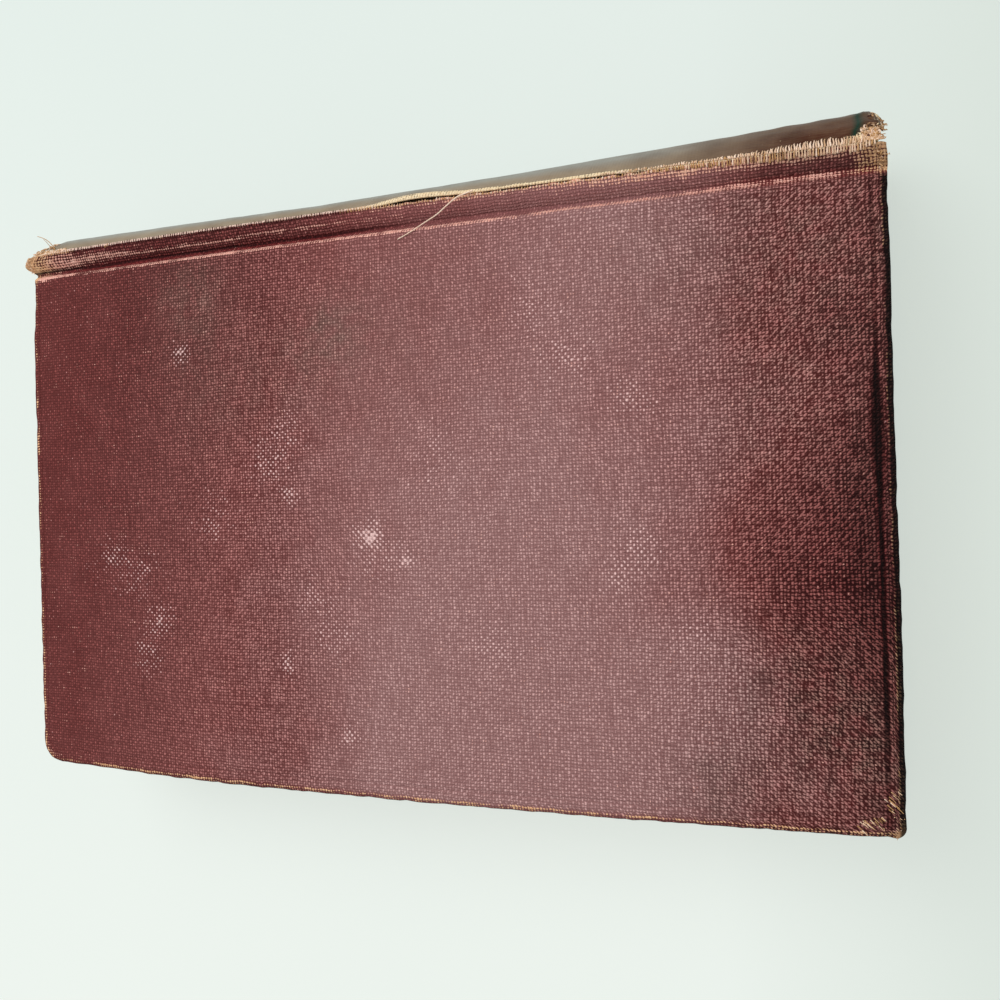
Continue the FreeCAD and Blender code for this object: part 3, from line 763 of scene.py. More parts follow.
def dark_masks(x, y, across, along, short):
    """Deep dye in the joint, and painted shade in its crease and on its far wall, in the groove of
    the blind rule at the head and on the rounded edges past it; the face darker near the head."""
    deep = np.interp(x, *JOINT_DYE) * ramp(across, 0.1, 0.6) * ramp(-across, -2.6, -1.6)
    deep = deep + 0.3 * ramp(across, 2.0, 3.0) + 0.14 * spot(x, y, (84, -20), 16)
    deep = deep + 0.2 * ramp(-x, 40.0, 90.0) * ramp(-across, 0.0, 1.0)
    # The crease: painted shade along the bottom of the joint's groove.
    wander = 1.75 + 0.12 * along + 0.05 * short
    crease = np.exp(-((across - wander) / 0.36) ** 2) * (0.9 - 0.75 * ramp(x, -12.0, 10.0))
    # Painted shade in the joint, then the face darker near the head and at its fore-edge corner.
    joint_shade_and_head_darkening = 0.2 * ramp(across, 2.0, 2.8) * ramp(-x, 0.0, 30.0)
    joint_shade_and_head_darkening = joint_shade_and_head_darkening + 0.42 * ramp(across, 1.2, 2.2) * ramp(x, 60.0, 84.0)
    near_head = 0.1 * ramp(x, 70.0, 82.0) + 0.36 * ramp(x, 83.0, 91.0)
    joint_shade_and_head_darkening = joint_shade_and_head_darkening + near_head * np.exp(-((y + 16) / 22) ** 2) + 0.45 * spot(x, y, (94.5, -61), 6)
    # The blind rule: painted shade in its groove, wider where the rule is crushed.
    wide = 0.55 + 0.75 * crushed(y) - 0.3 * ramp(y, 12.0, 22.0)
    rule = np.exp(-((HALF_LENGTH - x - RULE_INSETS["head"] - 0.4) / wide) ** 4)
    rule = rule * (x > 0) * (across < -1.0)
    rule = rule * (1.0 - 0.5 * ramp(y, 14.0, 34.0) - 0.4 * ramp(-y, 44.0, 54.0))
    # The verges: painted shade on the cloth's rounded edges at the head, the tail and the
    # fore-edge.
    verge = 0.93 * ramp(x, HALF_LENGTH - 1.5, HALF_LENGTH - 0.7)
    verge = verge + 0.45 * ramp(-x, HALF_LENGTH - 0.7, HALF_LENGTH)
    verge = verge * (1 - ramp(across, -0.6, 0.4))
    verge = np.maximum(verge, 0.5 * ramp(-y, -FORE - 0.8, -FORE))
    # Dark: the strongest of these marks, mostly painted shade, by which the shader darkens the
    # colour.
    dark = np.clip(np.maximum.reduce([crease, joint_shade_and_head_darkening, 0.94 * rule, verge]), 0.0, 0.95)
    # Deep: dye kept in the joint, with the painted shade of rule, verges and crease as deeper red.
    return {"deep": deep + 0.8 * rule + 0.4 * verge + 0.5 * crease, "dark": dark}


def cover_masks(x, y, past, upper):
    """All masks of a cover at rest points X and Y, with the length of cloth past the edge."""
    across = y - EDGE
    along, short = waves(x, 0 * y, 23.0, 41 + upper), waves(x, 0 * y, 6.0, 42 + upper)
    return {
        **face_masks(x, y, across, past, upper),
        **bare_masks(x, y, across, past, upper, along, short),
        **dark_masks(x, y, across, along, short),
    }


measured = cover_masks(plan[..., 0], plan[..., 1], past_rows[:, None] + 0 * plan[..., 0], 1)
means = {name: round(float(values.mean()), 3) for name, values in measured.items()}
print("mean of each mask", means)

# %% [markdown]
# ## Both covers' cloths
#
# The real cover is not quite straight: its edges bow by about a millimetre, the blind rule is
# pressed into the cloth, and the ends of the joint bulge where the cloth of the spine was pulled.
# The same function makes both covers. The lower one is the upper one mirrored in the height,
# with its faces turned so that they still point outwards.

# %% Cover cloth surface
def bow(x, y):
    """Shift in Y of old boards: 1.2 mm out at the middle of the fore-edge, 0.7 at the joint."""
    share = (y - FORE) / (EDGE - FORE)
    return (1.0 - (x / HALF_LENGTH) ** 2) * (-1.2 + 1.9 * np.clip(share, 0.0, 1.0))


def swollen(x, y):
    """Shift in X and Y of the cloth near the edges, up to a millimetre off the board."""
    down = np.clip((EDGE - y) / (EDGE - FORE), 0.0, 1.0)
    reach = np.where(x > 0, 0.3 + 0.5 * ramp(down, 0.3, 0.75), 0.75)
    sideways = np.sign(x) * reach * (np.abs(x) / HALF_LENGTH) ** 3 * ramp(down, 0.02, 0.16)
    return sideways, -0.95 * ramp(x, -92.0, -45.0) * down ** 2


def rule_depth(x, y, inset, direction):
    """Depth of the blind rule: a narrow groove at one inset on each side of the board."""
    sideways = direction[..., 0]
    side = np.where(sideways < 0, RULE_INSETS["tail"], RULE_INSETS["head"])
    place = side * np.abs(sideways) ** 2 + RULE_INSETS["fore"] * direction[..., 1] ** 2
    groove = np.exp(-((inset - place) / RULE_WIDTH) ** 2) * 0.2 * ramp(EDGE - 2.4 - y, 0.0, 1.0)
    joint = EDGE - RULE_INSETS["joint"]
    inside = ramp(HALF_LENGTH - 3.0 - np.abs(x), 0.0, 1.5)
    beside_joint = np.exp(-((y - joint) / RULE_WIDTH) ** 2) * inside
    groove = groove + beside_joint * (0.05 + 0.15 * ramp(x, 40.0, 62.0))
    return np.minimum(groove + 0.3 * np.exp(-((x - 92.2) / 0.9) ** 2) * crushed(y), 0.3)


def cover_cloth_mesh(name, upper):
    """The cloth of one cover, with its joint strip, as a welded sheet."""
    x, y = plan[..., 0].copy(), plan[..., 1].copy()
    inset, past = inset_rows[:, None] + 0 * x, past_rows[:, None] + 0 * x
    direction = plan[..., 2:4]
    rest_x, rest_y = x.copy(), y.copy()
    across = y - EDGE
    in_joint = ramp(across, -0.9, 0.9)
    outer = joint_level(y)
    inner = TURN_IN_LEVEL * (1 - in_joint) + (outer - STRIP_DEPTH) * in_joint
    on_face = ramp(-past, -0.3, 0.4)
    outer = outer - rule_depth(x, y, inset, direction) * on_face
    outer = outer + 0.07 * waves(x, y, 70.0, 11 + upper) * (1 - in_joint) * on_face
    outer = outer + 0.05 * waves(x, y, 9.0, 13 + upper) * in_joint
    outer = outer + 0.8 * ramp(x, 48.0, 88.0) * np.exp(-((across - 2.0) / 1.3) ** 2)
    z = outer + share_rows[:, None] * (inner - outer)
    swell = ramp(past, -5.0, 0.0)
    rough_edge = 0.07 * waves(x, y, 6.0, 17 + upper) + 0.06 * waves(x, y, 2.6, 19 + upper)
    x = x + direction[..., 0] * rough_edge * swell
    y = y + direction[..., 1] * rough_edge * swell
    tail_bulge = np.exp(-((across - 3.6) / 2.1) ** 2) * ramp(-rest_x, 84.0, 95.0)
    head_bulge = np.exp(-((across - 3.0) / 2.2) ** 2) * ramp(rest_x, 88.0, 95.0)
    x = x - (4.2 if upper else 1.4) * tail_bulge + 0.25 * head_bulge
    z = z + 0.22 * head_bulge * waves(rest_x, rest_y, 2.2, 23 + upper)
    z = z - 0.35 * tail_bulge + 0.15 * tail_bulge * waves(rest_x, rest_y, 2.4, 25 + upper)
    wider, lower = swollen(rest_x, rest_y)
    x, y = x + wider, y + lower + bow(rest_x, rest_y)
    y = y + 0.5 * ramp(across, 4.6, 5.5) * ramp(rest_x, 55.0, 72.0) * ramp(-rest_x, -89.0, -84.0)
    ragged = 0.16 * waves(x, 0 * y, 3.1, 27 + upper) + 0.12 * waves(x, 0 * y, 1.4, 29 + upper)
    y = y + ramp(across, 4.6, 5.5) * ragged
    if not upper:
        z = TOP - z
    reach = np.maximum(past + OUTER_ROUND, 0.0)
    first = int(np.argmax(past_rows >= -OUTER_ROUND - 1e-6))
    flat_x = np.where(reach > 0, plan[first, :, 0][None] + direction[..., 0] * reach, rest_x)
    edge_v = flat_y(plan[first, :, 1])[None] + direction[..., 1] * reach
    flat_v = np.where(reach > 0, edge_v, flat_y(rest_y))
    points = np.stack([x, y, z], axis=2)
    masks = cover_masks(rest_x, rest_y, past, upper)
    flat = np.stack([flat_x, flat_v if upper else flat_v + LOWER_WEAVE_SHIFT], axis=2)
    mesh = grid_mesh(name, points, flat, masks, flip=upper)
    weld(mesh)
    return mesh


for level, body in ((1, "upper_cover"), (0, "lower_cover")):
    node = body + "_cloth"
    mesh = cover_cloth_mesh(node + "_worn", level)
    piece = add_piece(node + "_worn", mesh, cover_cloth_finish, body, (node,))
    thicken(piece, CLOTH)

# %% [markdown]
# ## The spine's cloth
#
# The spine is a hollow back: a sheet arched from the upper ridge to the lower one, free of the
# pages. It is 6 mm deep at the tail and swells to almost 10 mm at the head, where pulling the
# book from its shelf has loosened it. Each cross-section is an arc through both ridges. The
# sheet's rows run along the book, and at each end they go round and come back inside, as cloth
# that is turned in over the card.

# %% Spine formulas
RISE_PLACES = np.array([-95.0, -22.8, 22.8, 66.5, 95.0])
RISES = np.array([6.2, 5.5, 6.5, 8.3, 9.8])
CAP_TURN_IN = 10.0


def cap_droop(x, from_ridge):
    """How far the cap of the spine rounds inwards near each end, at a way from the ridge."""
    wide, deep = np.where(x > 0, 3.4, 4.2), np.where(x > 0, 3.9, 2.2)
    reach = np.clip((np.abs(x) - HALF_LENGTH + wide) / wide, 0.0, 0.95)
    return deep * (1 - np.sqrt(1 - reach ** 2)) * ramp(from_ridge, 1.0, 8.0)


def spine_rise(x):
    """How far the arc's crown stands out from the ridges, eased between the measured places."""
    fine = np.linspace(-99.0, 99.0, 397)
    rise = np.interp(fine, RISE_PLACES, RISES)
    kernel = np.hanning(41)
    padded = np.pad(rise, 20, mode="edge")
    return np.interp(x, fine, np.convolve(padded, kernel / kernel.sum(), mode="valid"))


def spine_section(x, share, depth):
    """Y and Z on the arc at a share of -1 to 1 from the lower ridge to the upper one, at a depth
    below the face: R = (H*H + s*s) / (2 s) for a rise s over a half height H."""
    rise = spine_rise(x)
    radius = (HALF_BACK ** 2 + rise ** 2) / (2 * rise)
    centre = RIDGE + rise - radius
    angle = share * np.arcsin(HALF_BACK / radius)
    out = radius - depth
    return centre + out * np.cos(angle), MIDDLE + out * np.sin(angle), radius * angle


print("rise at the tail, middle and head", spine_rise(np.array([-95.0, 0.0, 95.0])).round(2))

# %% [markdown]
# ## The spine's finish
#
# Light has bleached the spine's cloth from maroon to a brown grey, and hands have rubbed it
# smooth. Near the head it is still brown, with one painted teal band. At both ends and along
# the torn ridge the undyed threads show. The bleaching and the band are masks along the cloth,
# and fine slanting scratches break up the sheen. Away from the ridge the bleached grey turns
# cooler: a painted sheen of the pale surroundings.

# %% Spine cloth material
def make_spine_material():
    """Bleached, rubbed cloth with a teal band, a cooler painted sheen away from the ridge and bare
    threads at its torn edges.
    """
    material, writer, shader = new_material("faded_spine_cloth", 0.5, Specular_IOR_Level=0.12)
    flat = writer.flat()
    woven = {"Flat": flat, "Pitch": THREAD * MM, "Bend": 0.0004, "Slant": 0.0}
    height = writer.group(weave_tree, woven, "Height")
    cloud = writer.noise(flat, 6.0, detail=5.0)
    slanting = writer.stretched(flat, (0.16, 1.0, 1.0), 0.5)
    scratch = writer.noise(slanting, 0.5, detail=4.0, roughness=0.7)
    brown = writer.mix(cloud, (46, 14, 2), (84, 42, 20))
    warm = writer.mix(cloud, (118, 98, 80), (158, 140, 116))
    # A cooler grey: painted sheen of the pale surroundings, mixed in away from the ridge.
    sheen_grey = writer.mix(cloud, (118, 115, 108), (154, 152, 144))
    grey = writer.mix(writer.mask("sheen_grey"), warm, sheen_grey)
    bleach = clouded(writer, cloud, 0.3, "bleach")
    colour = writer.mix(bleach, brown, grey)
    fleck = writer.range(scratch, 0.42, 0.75, 0.0, 0.18)
    colour = writer.mix(fleck, colour, (150, 130, 100))
    teal = writer.math("MULTIPLY", writer.mask("band"), writer.range(cloud, 0.3, 0.6, 0.88, 1.0))
    colour = writer.mix(teal, colour, (0, 44, 31))
    # Painted shade: the low places between the threads darker brown.
    colour = writer.mix(writer.range(height, 0.0, 0.35, 0.3, 0.0), colour, (48, 30, 20))
    bare = rubbed(writer, writer.mask("wear"), height, flat)
    single = writer.noise(flat, 0.8, detail=2.0)
    thread = writer.mix(single, (226, 188, 140), (255, 238, 204))
    pinkish = writer.mix(single, (222, 176, 158), (252, 226, 212))
    thread = writer.mix(writer.mask("pinkish"), thread, pinkish)
    # Painted shade: bare threads darker brown in the low places between them.
    thread = writer.mix(writer.range(height, 0.0, 0.4), (160, 112, 76), thread)
    colour = writer.mix(bare, colour, thread)
    rough = writer.math("MULTIPLY_ADD", writer.math("MAXIMUM", bare, scratch), 0.35, 0.34)
    relief = writer.math("MULTIPLY", height, writer.math("MULTIPLY_ADD", bare, 0.85, 0.15))
    finish_material(writer, shader, colour, relief, 0.2, rough)
    return material


spine_finish = make_spine_material()

# %% [markdown]
# ## The rows of the spine
#
# Cloth is turned in at both ends of a spine, round a cord or a card. The rows run along the book,
# round each end in a half circle and back inside, at a depth below the face.

# %% Spine cloth surface
# How far the torn ends of the cloth stand out, at ways from the upper ridge.
HEAD_SHAPE = [0.0, 1.6, 2.8, 4.2, 6.0, 9.0], [-1.1, -1.2, -0.9, 0.1, 0.6, 0.2]
TAIL_SHAPE = [0.0, 1.5, 4.0, 8.0], [-1.6, -0.9, 0.4, 0.6]


def spine_rows():
    """X along the spine's face and back inside at both ends, with the depth below the face and
    the length along the cloth."""
    turn = np.radians(np.arange(15.0, 91.0, 15.0))
    back, fold = 1.1, 0.55
    face = np.arange(0.0, HALF_LENGTH - fold + 0.01, 1.05)
    half = [face, face[-1] + fold * np.sin(turn), face[-1] + fold * np.sin(turn[::-1])[1:]]
    deep = [0 * face, fold * (1 - np.cos(turn)), back - fold * (1 - np.cos(turn[::-1]))[1:]]
    inner = face[-1] - np.array([0.0, 2.5, 5.0, CAP_TURN_IN])
    half, deep = np.concatenate(half + [inner]), np.concatenate(deep + [back + 0 * inner])
    x = np.concatenate([-half[:0:-1], half])
    depth = np.concatenate([deep[:0:-1], deep])
    step = np.hypot(np.diff(x), np.diff(depth))
    length = np.concatenate([[0.0], np.cumsum(step)])
    return x, depth, length - length[len(length) // 2]

# %% [markdown]
# ## Where the spine is bleached or bare
#
# The spine faded in the light of the shelf, less so near the head. Its threads are bare along
# the torn ridge and at both ends, where the cloth was bent most.

# %% Masks of the spine
def spine_masks(x, arc, from_ridge, upper, slit, flap_place):
    """Bleaching, the teal band, painted sheen away from the ridge, and bare threads along the ridge
    and at both ends.
    """
    brown = ramp(x, 42.0, 84.0) * (1 - 0.3 * ramp(from_ridge, 3.0, 14.0))
    brown = np.maximum(brown, ramp(x, 70.0, 82.0) * np.exp(-(from_ridge / 6.5) ** 4))
    lip_width = 0.6 + 2.0 * flap_place + 0.3 * slit
    lip_width = lip_width + 1.2 * ramp(-x, 84.0, 91.0) + 0.2 * ramp(-x, 4.0, 12.0)
    lip = np.exp(-(from_ridge / lip_width) ** 4) * (1.0 + 0.08 * waves(x, 0 * x, 9.0, 45))
    head_width = 0.9 + 2.2 * ramp(x, 86.0, 92.0)
    ragged_band = ramp(x, 40.0, 60.0) * np.exp(-(from_ridge / head_width) ** 4)
    ragged_band = ragged_band * (0.55 + 0.5 * ramp(x, 86.0, 90.0))
    wander = 0.9 * waves(arc, 0 * x, 4.0, 47)
    bare_end = 0.5 * ramp(x + wander, 91.0, 93.0) + 0.6 * ramp(x + wander, 93.2, 94.2)
    tail_bare = 0.35 + 0.75 * ramp(-from_ridge, -6.0, -3.0) * upper
    tail_bare = ramp(-x + wander, 91.5, 94.0) * tail_bare
    bare = [lip * ramp(-x, -84.0, -70.0), ragged_band, bare_end, tail_bare]
    return {
        "bleach": 1 - brown,
        "band": ramp(x, 89.2, 89.6) * ramp(-x, -91.5, -91.0),
        "wear": np.maximum.reduce(bare) - 0.1,
        "pinkish": ramp(-x, 2.0, 14.0) * (1 - 0.6 * ramp(-x, 86.0, 92.0)),
        # The share of cooler grey: a painted sheen on the bleached cloth away from the ridge.
        "sheen_grey": ramp(from_ridge, 1.5, 7.0) * (1 - brown),
    }

# %% [markdown]
# ## The sheet of the spine
#
# The arc gives the plain sheet. Its torn ends, the slit beside the ridge, the flap that was
# pulled out of it and the creases under the head are small shifts, added one after another.

# %% The spine's sheet
def spine_cloth_mesh(name):
    """The hollow back: arcs along the rows, with torn ends, the slit and the pulled-out flap."""
    row_x, row_depth, row_flat = spine_rows()
    near = np.array([0.0, 0.012, 0.024, 0.036, 0.05, 0.065, 0.08, 0.1, 0.125, 0.15])
    share = np.concatenate([-1 + near, np.linspace(-0.82, 0.82, 42), 1 - near[::-1]])
    x, depth = row_x[:, None] + 0 * share, row_depth[:, None] + 0 * share
    _, _, arc = spine_section(x, share, depth)
    end_arc = spine_section(x, 1.0 + 0 * share, depth)[2]
    from_ridge = end_arc - np.abs(arc)
    upper = ramp(share + 0 * x, 0.0, 0.4)
    end = ramp(np.abs(x), HALF_LENGTH - 9.0, HALF_LENGTH)
    droop = cap_droop(x, from_ridge)
    torn = 0.16 * waves(arc, 0 * arc, 3.0, 31) + 0.14 * waves(arc, 0 * arc, 1.3, 33)
    head_shape = np.interp(from_ridge, *HEAD_SHAPE) * upper
    head_shape = head_shape - 0.8 * np.exp(-(from_ridge / 3.0) ** 2) * (1 - upper)
    tail_shape = np.interp(from_ridge, *TAIL_SHAPE) * upper + 0.5 * (1 - upper)
    shift = np.where(x < 0, tail_shape, head_shape) * end + np.sign(x) * end * torn
    y, z, _ = spine_section(x, share + 0 * x, depth + droop)
    slit = ramp(x, -8.0, 4.0) * ramp(-x, -56.0, -44.0)
    lift = 0.3 * slit * np.exp(-(from_ridge / 2.2) ** 2) * upper
    flap_place = np.exp(-((x - 5.5) / 7.5) ** 2) * upper
    flap = flap_place * np.exp(-((from_ridge - 1.2) / 1.5) ** 2)
    y = y + lift + 0.4 * flap
    z = z - 0.1 * lift + 0.6 * flap
    loose = ramp(x, 55.0, 92.0)
    crease = 0.10 * waves(0.35 * x, arc, 7.0, 35) + 0.05 * waves(0.5 * x, arc, 3.2, 37)
    ruck = ramp(x, 88.5, 92.5) * (0.4 + 0.6 * np.exp(-((from_ridge - 2.5) / 3.0) ** 2) * upper)
    crumple = (0.42 * waves(x, arc, 2.6, 39) + 0.2 * waves(x, arc, 1.4, 40)) * ruck
    tail_ruck = 0.3 * waves(x, arc, 2.8, 38) * ramp(-x, 90.0, 94.0) * upper
    tail_ruck = tail_ruck * ramp(-from_ridge, -7.0, -1.0)
    out = (crease * (0.35 + loose)) * ramp(from_ridge, 0.0, 2.0) + crumple + tail_ruck
    angle = np.arctan2(z - MIDDLE, 22.0)
    y = y + out * np.cos(angle) + bow(x, EDGE + 0 * x)
    z = z + out * np.sin(angle)
    x_torn = x + shift
    masks = spine_masks(x, arc, from_ridge, upper, slit, flap_place)
    points = np.stack([x_torn, y, z], axis=2)
    flat = np.stack([row_flat[:, None] + 0 * x, arc + SPINE_WEAVE_SHIFT], axis=2)
    return grid_mesh(name, points, flat, masks)


spine_mesh = spine_cloth_mesh("spine_cloth_worn")
spine_piece = add_piece(
    "spine_cloth_worn", spine_mesh, spine_finish, "text_block", ("spine_cloth",)
)
thicken(spine_piece, CLOTH)

# %% [markdown]
# ## Frayed threads
#
# Torn cloth ends in its own threads. A hair system would make them, but it can't be exported, so
# each thread is a thin tube with four sides. All threads of one place are worked out together:
# a path for each, with random bends from a fixed seed, and a ring of points round every point
# of every path.

# %% Thread tubes
def thread_mesh(name, paths, radii, shades):
    """Closed four-sided tubes round paths of threads x points x 3, thinner towards the far end."""
    count, steps = paths.shape[:2]
    tangent = np.gradient(paths, axis=1)
    tangent = tangent / np.linalg.norm(tangent, axis=2, keepdims=True)
    helper = np.where(np.abs(tangent[..., 2:3]) < 0.8, [0.0, 0.0, 1.0], [1.0, 0.0, 0.0])
    side = np.cross(tangent, helper)
    side = side / np.linalg.norm(side, axis=2, keepdims=True)
    other = np.cross(tangent, side)
    turn = np.radians([0.0, 90.0, 180.0, 270.0])
    taper = np.linspace(1.0, 0.55, steps)[None, :, None, None] * radii[:, None, None, None]
    ring = side[:, :, None] * np.cos(turn)[:, None] + other[:, :, None] * np.sin(turn)[:, None]
    points = (paths[:, :, None] + taper * ring).reshape(-1, 3)
    start = np.arange(count)[:, None, None] * steps * 4 + np.arange(steps - 1)[None, :, None] * 4
    corner = np.arange(4)[None, None, :]
    following = (corner + 1) % 4
    walls = [start + corner, start + 4 + corner, start + 4 + following, start + following]
    walls = np.stack(walls, axis=3)
    first = np.arange(count)[:, None] * steps * 4
    caps = [first + np.array([0, 1, 2, 3]), first + (steps - 1) * 4 + np.array([3, 2, 1, 0])]
    faces = np.concatenate([walls.reshape(-1, 4)] + caps)
    rings = count * steps
    flat = np.stack([np.repeat(np.arange(rings), 4) * 1.0, np.tile(np.arange(4.0), rings)], axis=1)
    return make_mesh(name, points, faces, flat, {"shade": np.repeat(shades, steps * 4)})


def loose_paths(starts, directions, lengths, steps, curl, seed):
    """Paths that leave their starts in their directions and bend more the further they go."""
    dice = np.random.default_rng(seed)
    share = np.linspace(0.0, 1.0, steps)[None, :, None]
    bends = dice.normal(size=(2, len(starts), 1, 3))
    straight = directions[:, None] * lengths[:, None, None] * share
    sway = bends[0] * share ** 2 + bends[1] * np.sin(4.5 * share) * share
    return starts[:, None] + straight + sway * curl * lengths[:, None, None]

# %% [markdown]
# ## The threads' own finish
#
# Undyed cotton is cream, and threads that kept some dye are tan or maroon. One number on each
# thread, its shade, chooses between them.

# %% Finish of the threads
def make_thread_material():
    """Undyed cotton with a little of the dye left, set by the shade that each thread carries."""
    material, writer, shader = new_material("frayed_thread", 0.8, Specular_IOR_Level=0.2)
    place = writer.place()
    grain = writer.noise(place, 0.5, detail=2.0)
    cream = writer.mix(grain, (232, 184, 152), (255, 240, 222))
    tan = writer.mix(grain, (150, 100, 58), (222, 178, 124))
    shade = writer.mask("shade")
    colour = writer.mix(writer.range(shade, 0.3, 0.5), (72, 28, 26), tan)
    colour = writer.mix(writer.range(shade, 0.6, 0.95), colour, cream)
    finish_material(writer, shader, colour, grain, 0.05)
    return material


thread_finish = make_thread_material()

# %% [markdown]
# ## Threads along the ridge
#
# The upper joint has worn through along the ridge. The cover's cloth ends there in a row of
# short thread ends. They are still maroon over most of the tail half, and bare at the tail's end,
# beside the slit and towards the head. Past X = 50 they stand closer and reach further back, and
# with the threads of the spine they make the bare ribs.

# %% Ridge fringe
def ridge_fringe(upper):
    """Threads that leave the cover's ragged edge and lie over the start of the spine's arc."""
    dice = np.random.default_rng(51 + upper)
    x = np.concatenate([np.arange(-91.0, 50.0, THREAD), np.arange(50.0, 93.6, RIB_PITCH)])
    count = len(x)
    x = x + dice.normal(0.0, 0.05, count)
    ribbed = ramp(x, 50.0, 78.0)
    back = 0.3 + 0.6 * ribbed * ramp(-x, -92.5, -91.0) + dice.normal(0.0, 0.12, count) * ribbed
    y = JOINT_END - back + bow(x, EDGE + 0 * x) + dice.normal(0.0, 0.05, count)
    z = joint_level(JOINT_END - back) + 0.06
    starts = np.stack([x, y, z], axis=1)
    rise = joint_level(JOINT_END + 0 * x) - z
    sideways = dice.normal(0.0, 0.06, count)
    reach = [sideways, 0.5 + back + 0.15 * ribbed, rise - 0.08 + 0.16 * ribbed]
    reach = np.stack(reach, axis=1)
    torn_free = ramp(x, -4.0, 2.0) * ramp(-x, -58.0, -50.0)
    ends = starts + reach * (dice.uniform(0.8, 1.15, count) - 0.5 * torn_free)[:, None]
    share = np.linspace(0.0, 1.0, 5)[None, :, None]
    paths = starts[:, None] * (1 - share) + ends[:, None] * share
    paths[..., 2] += 0.1 * np.sin(np.pi * share[..., 0])
    beside_slit = 0.62 * ramp(x, -16.0, -4.0) * ramp(-x, -72.0, -50.0)
    near_head = 0.5 * ramp(x, 44.0, 62.0) + 0.2 * ramp(x, 74.0, 82.0)
    bare = np.maximum.reduce([beside_slit, 0.55 * ramp(-x, 82.0, 87.0), near_head])
    shades = np.clip(0.1 + bare + dice.normal(0.0, 0.13, count), 0, 1)
    if not upper:
        paths[..., 2] = TOP - paths[..., 2]
    body = "upper_cover" if upper else "lower_cover"
    mesh = thread_mesh(body + "_fringe", paths, dice.uniform(0.16, 0.2, count), shades)
    add_piece(body + "_fringe", mesh, thread_finish, body)


ridge_fringe(1)
ridge_fringe(0)

# %% [markdown]
# ## Bare ribs at the head
#
# Near the head the spine's cloth has lost its lengthwise threads, so the threads across lie bare
# side by side, and at the very end they are rucked up into a knot. These threads lie on the
# arched cloth: each is a line in X and in the length along the arc, carried onto the arc by the
# same formula as the cloth itself.

# %% Threads on the spine
def on_spine(x, way, lift):
    """The point on the spine's arc at a way in millimetres from the upper ridge, lifted off it."""
    whole = spine_section(x, 1.0 + 0 * x, 0 * x)[2]
    y, z, _ = spine_section(x, 1.0 - way / whole, cap_droop(x, way) - lift)
    return np.stack([x + 0 * y, y + bow(x, EDGE + 0 * x), z], axis=-1)


def head_ribs():
    """Threads across the arc that start just past the ridge and get longer towards the head."""
    dice = np.random.default_rng(57)
    x = np.arange(44.0, 91.6, RIB_PITCH)
    count = len(x)
    first = 0.12
    length = np.interp(x, [44, 60, 72, 78, 81, 90], [0.3, 0.6, 1.0, 1.6, 2.0, 1.9]) - first
    length = length + dice.normal(0.0, 0.18, count)
    share = np.linspace(0.0, 1.0, 7)[None, :]
    x_line = x[:, None] + dice.normal(0.0, 0.07, count)[:, None]
    x_line = x_line + 0.07 * np.sin(5 * share + dice.uniform(0, 6, count)[:, None])
    way = first + share * length[:, None]
    lift = 0.12 + 0.2 * np.sin(np.pi * share) * dice.uniform(0.3, 1.3, count)[:, None]
    shades = np.clip(0.84 + dice.normal(0.0, 0.1, count), 0.4, 1)
    radii = dice.uniform(0.17, 0.22, count)
    mesh = thread_mesh("head_ribs", on_spine(x_line, way, lift), radii, shades)
    add_piece("head_ribs", mesh, thread_finish, "text_block")


def rucked_threads(name, count, x_range, way_range, radius, shade, seed, lift=0.2):
    """Curled threads that wander over the spine: each starts anywhere in the patch, with a
    heading that turns steadily, and its line is summed up step by step. They lie flat near the
    ridge, where the opening cover comes over them."""
    dice = np.random.default_rng(seed)
    steps = 8
    start_x, start_way = dice.uniform(*x_range, count), dice.uniform(*way_range, count)
    turn = dice.uniform(0, FULL_TURN, count)[:, None]
    turn = turn + dice.normal(0.0, 0.8, count)[:, None] * np.arange(steps)
    step = dice.uniform(0.1, 0.2, count)[:, None]
    x = start_x[:, None] + np.cumsum(np.cos(turn) * step, axis=1)
    way = start_way[:, None] + np.cumsum(np.sin(turn) * step, axis=1)
    x = np.minimum(x, HALF_LENGTH + 0.5 - 0.12 * dice.uniform(0, 1, count)[:, None])
    height = lift * (0.5 + dice.uniform(0, 1.6, count)[:, None])
    height = height * np.sin(np.linspace(0.4, 2.9, steps))
    way = np.maximum(way, 0.5)
    height = height * (0.12 + 0.88 * ramp(way, 0.7, 2.2))
    shades = np.clip(shade + dice.normal(0.0, 0.17, count), 0.0, 1.0)
    mesh = thread_mesh(name, on_spine(x, way, height), dice.uniform(*radius, count), shades)
    add_piece(name, mesh, thread_finish, "text_block")


head_ribs()
rucked_threads("head_knot", 260, (91.2, 94.0), (-0.9, 3.2), (0.11, 0.17), 0.7, 58, 0.3)
rucked_threads("head_rim_threads", 80, (93.2, 94.8), (4.0, 13.0), (0.09, 0.15), 0.58, 59, 0.12)
rucked_threads("tail_rim_threads", 40, (-94.8, -91.0), (0.0, 5.0), (0.1, 0.15), 0.66, 60, 0.15)
rucked_threads("tail_ridge_threads", 60, (-95.0, -86.0), (-0.2, 1.2), (0.12, 0.18), 0.75, 62, 0.15)

# %% [markdown]
# ## Threads at the ends of the spine
#
# Both ends of the spine are where a finger pulls the book from a shelf. The head is a tangle of
# short bare threads around a torn notch, and the tail is a soft frayed cap with one small tuft.
# The threads of a tangle start round a line of places on the cloth. The same function frays the
# cover's corner at the head, and draws the straight pale strokes beside it.

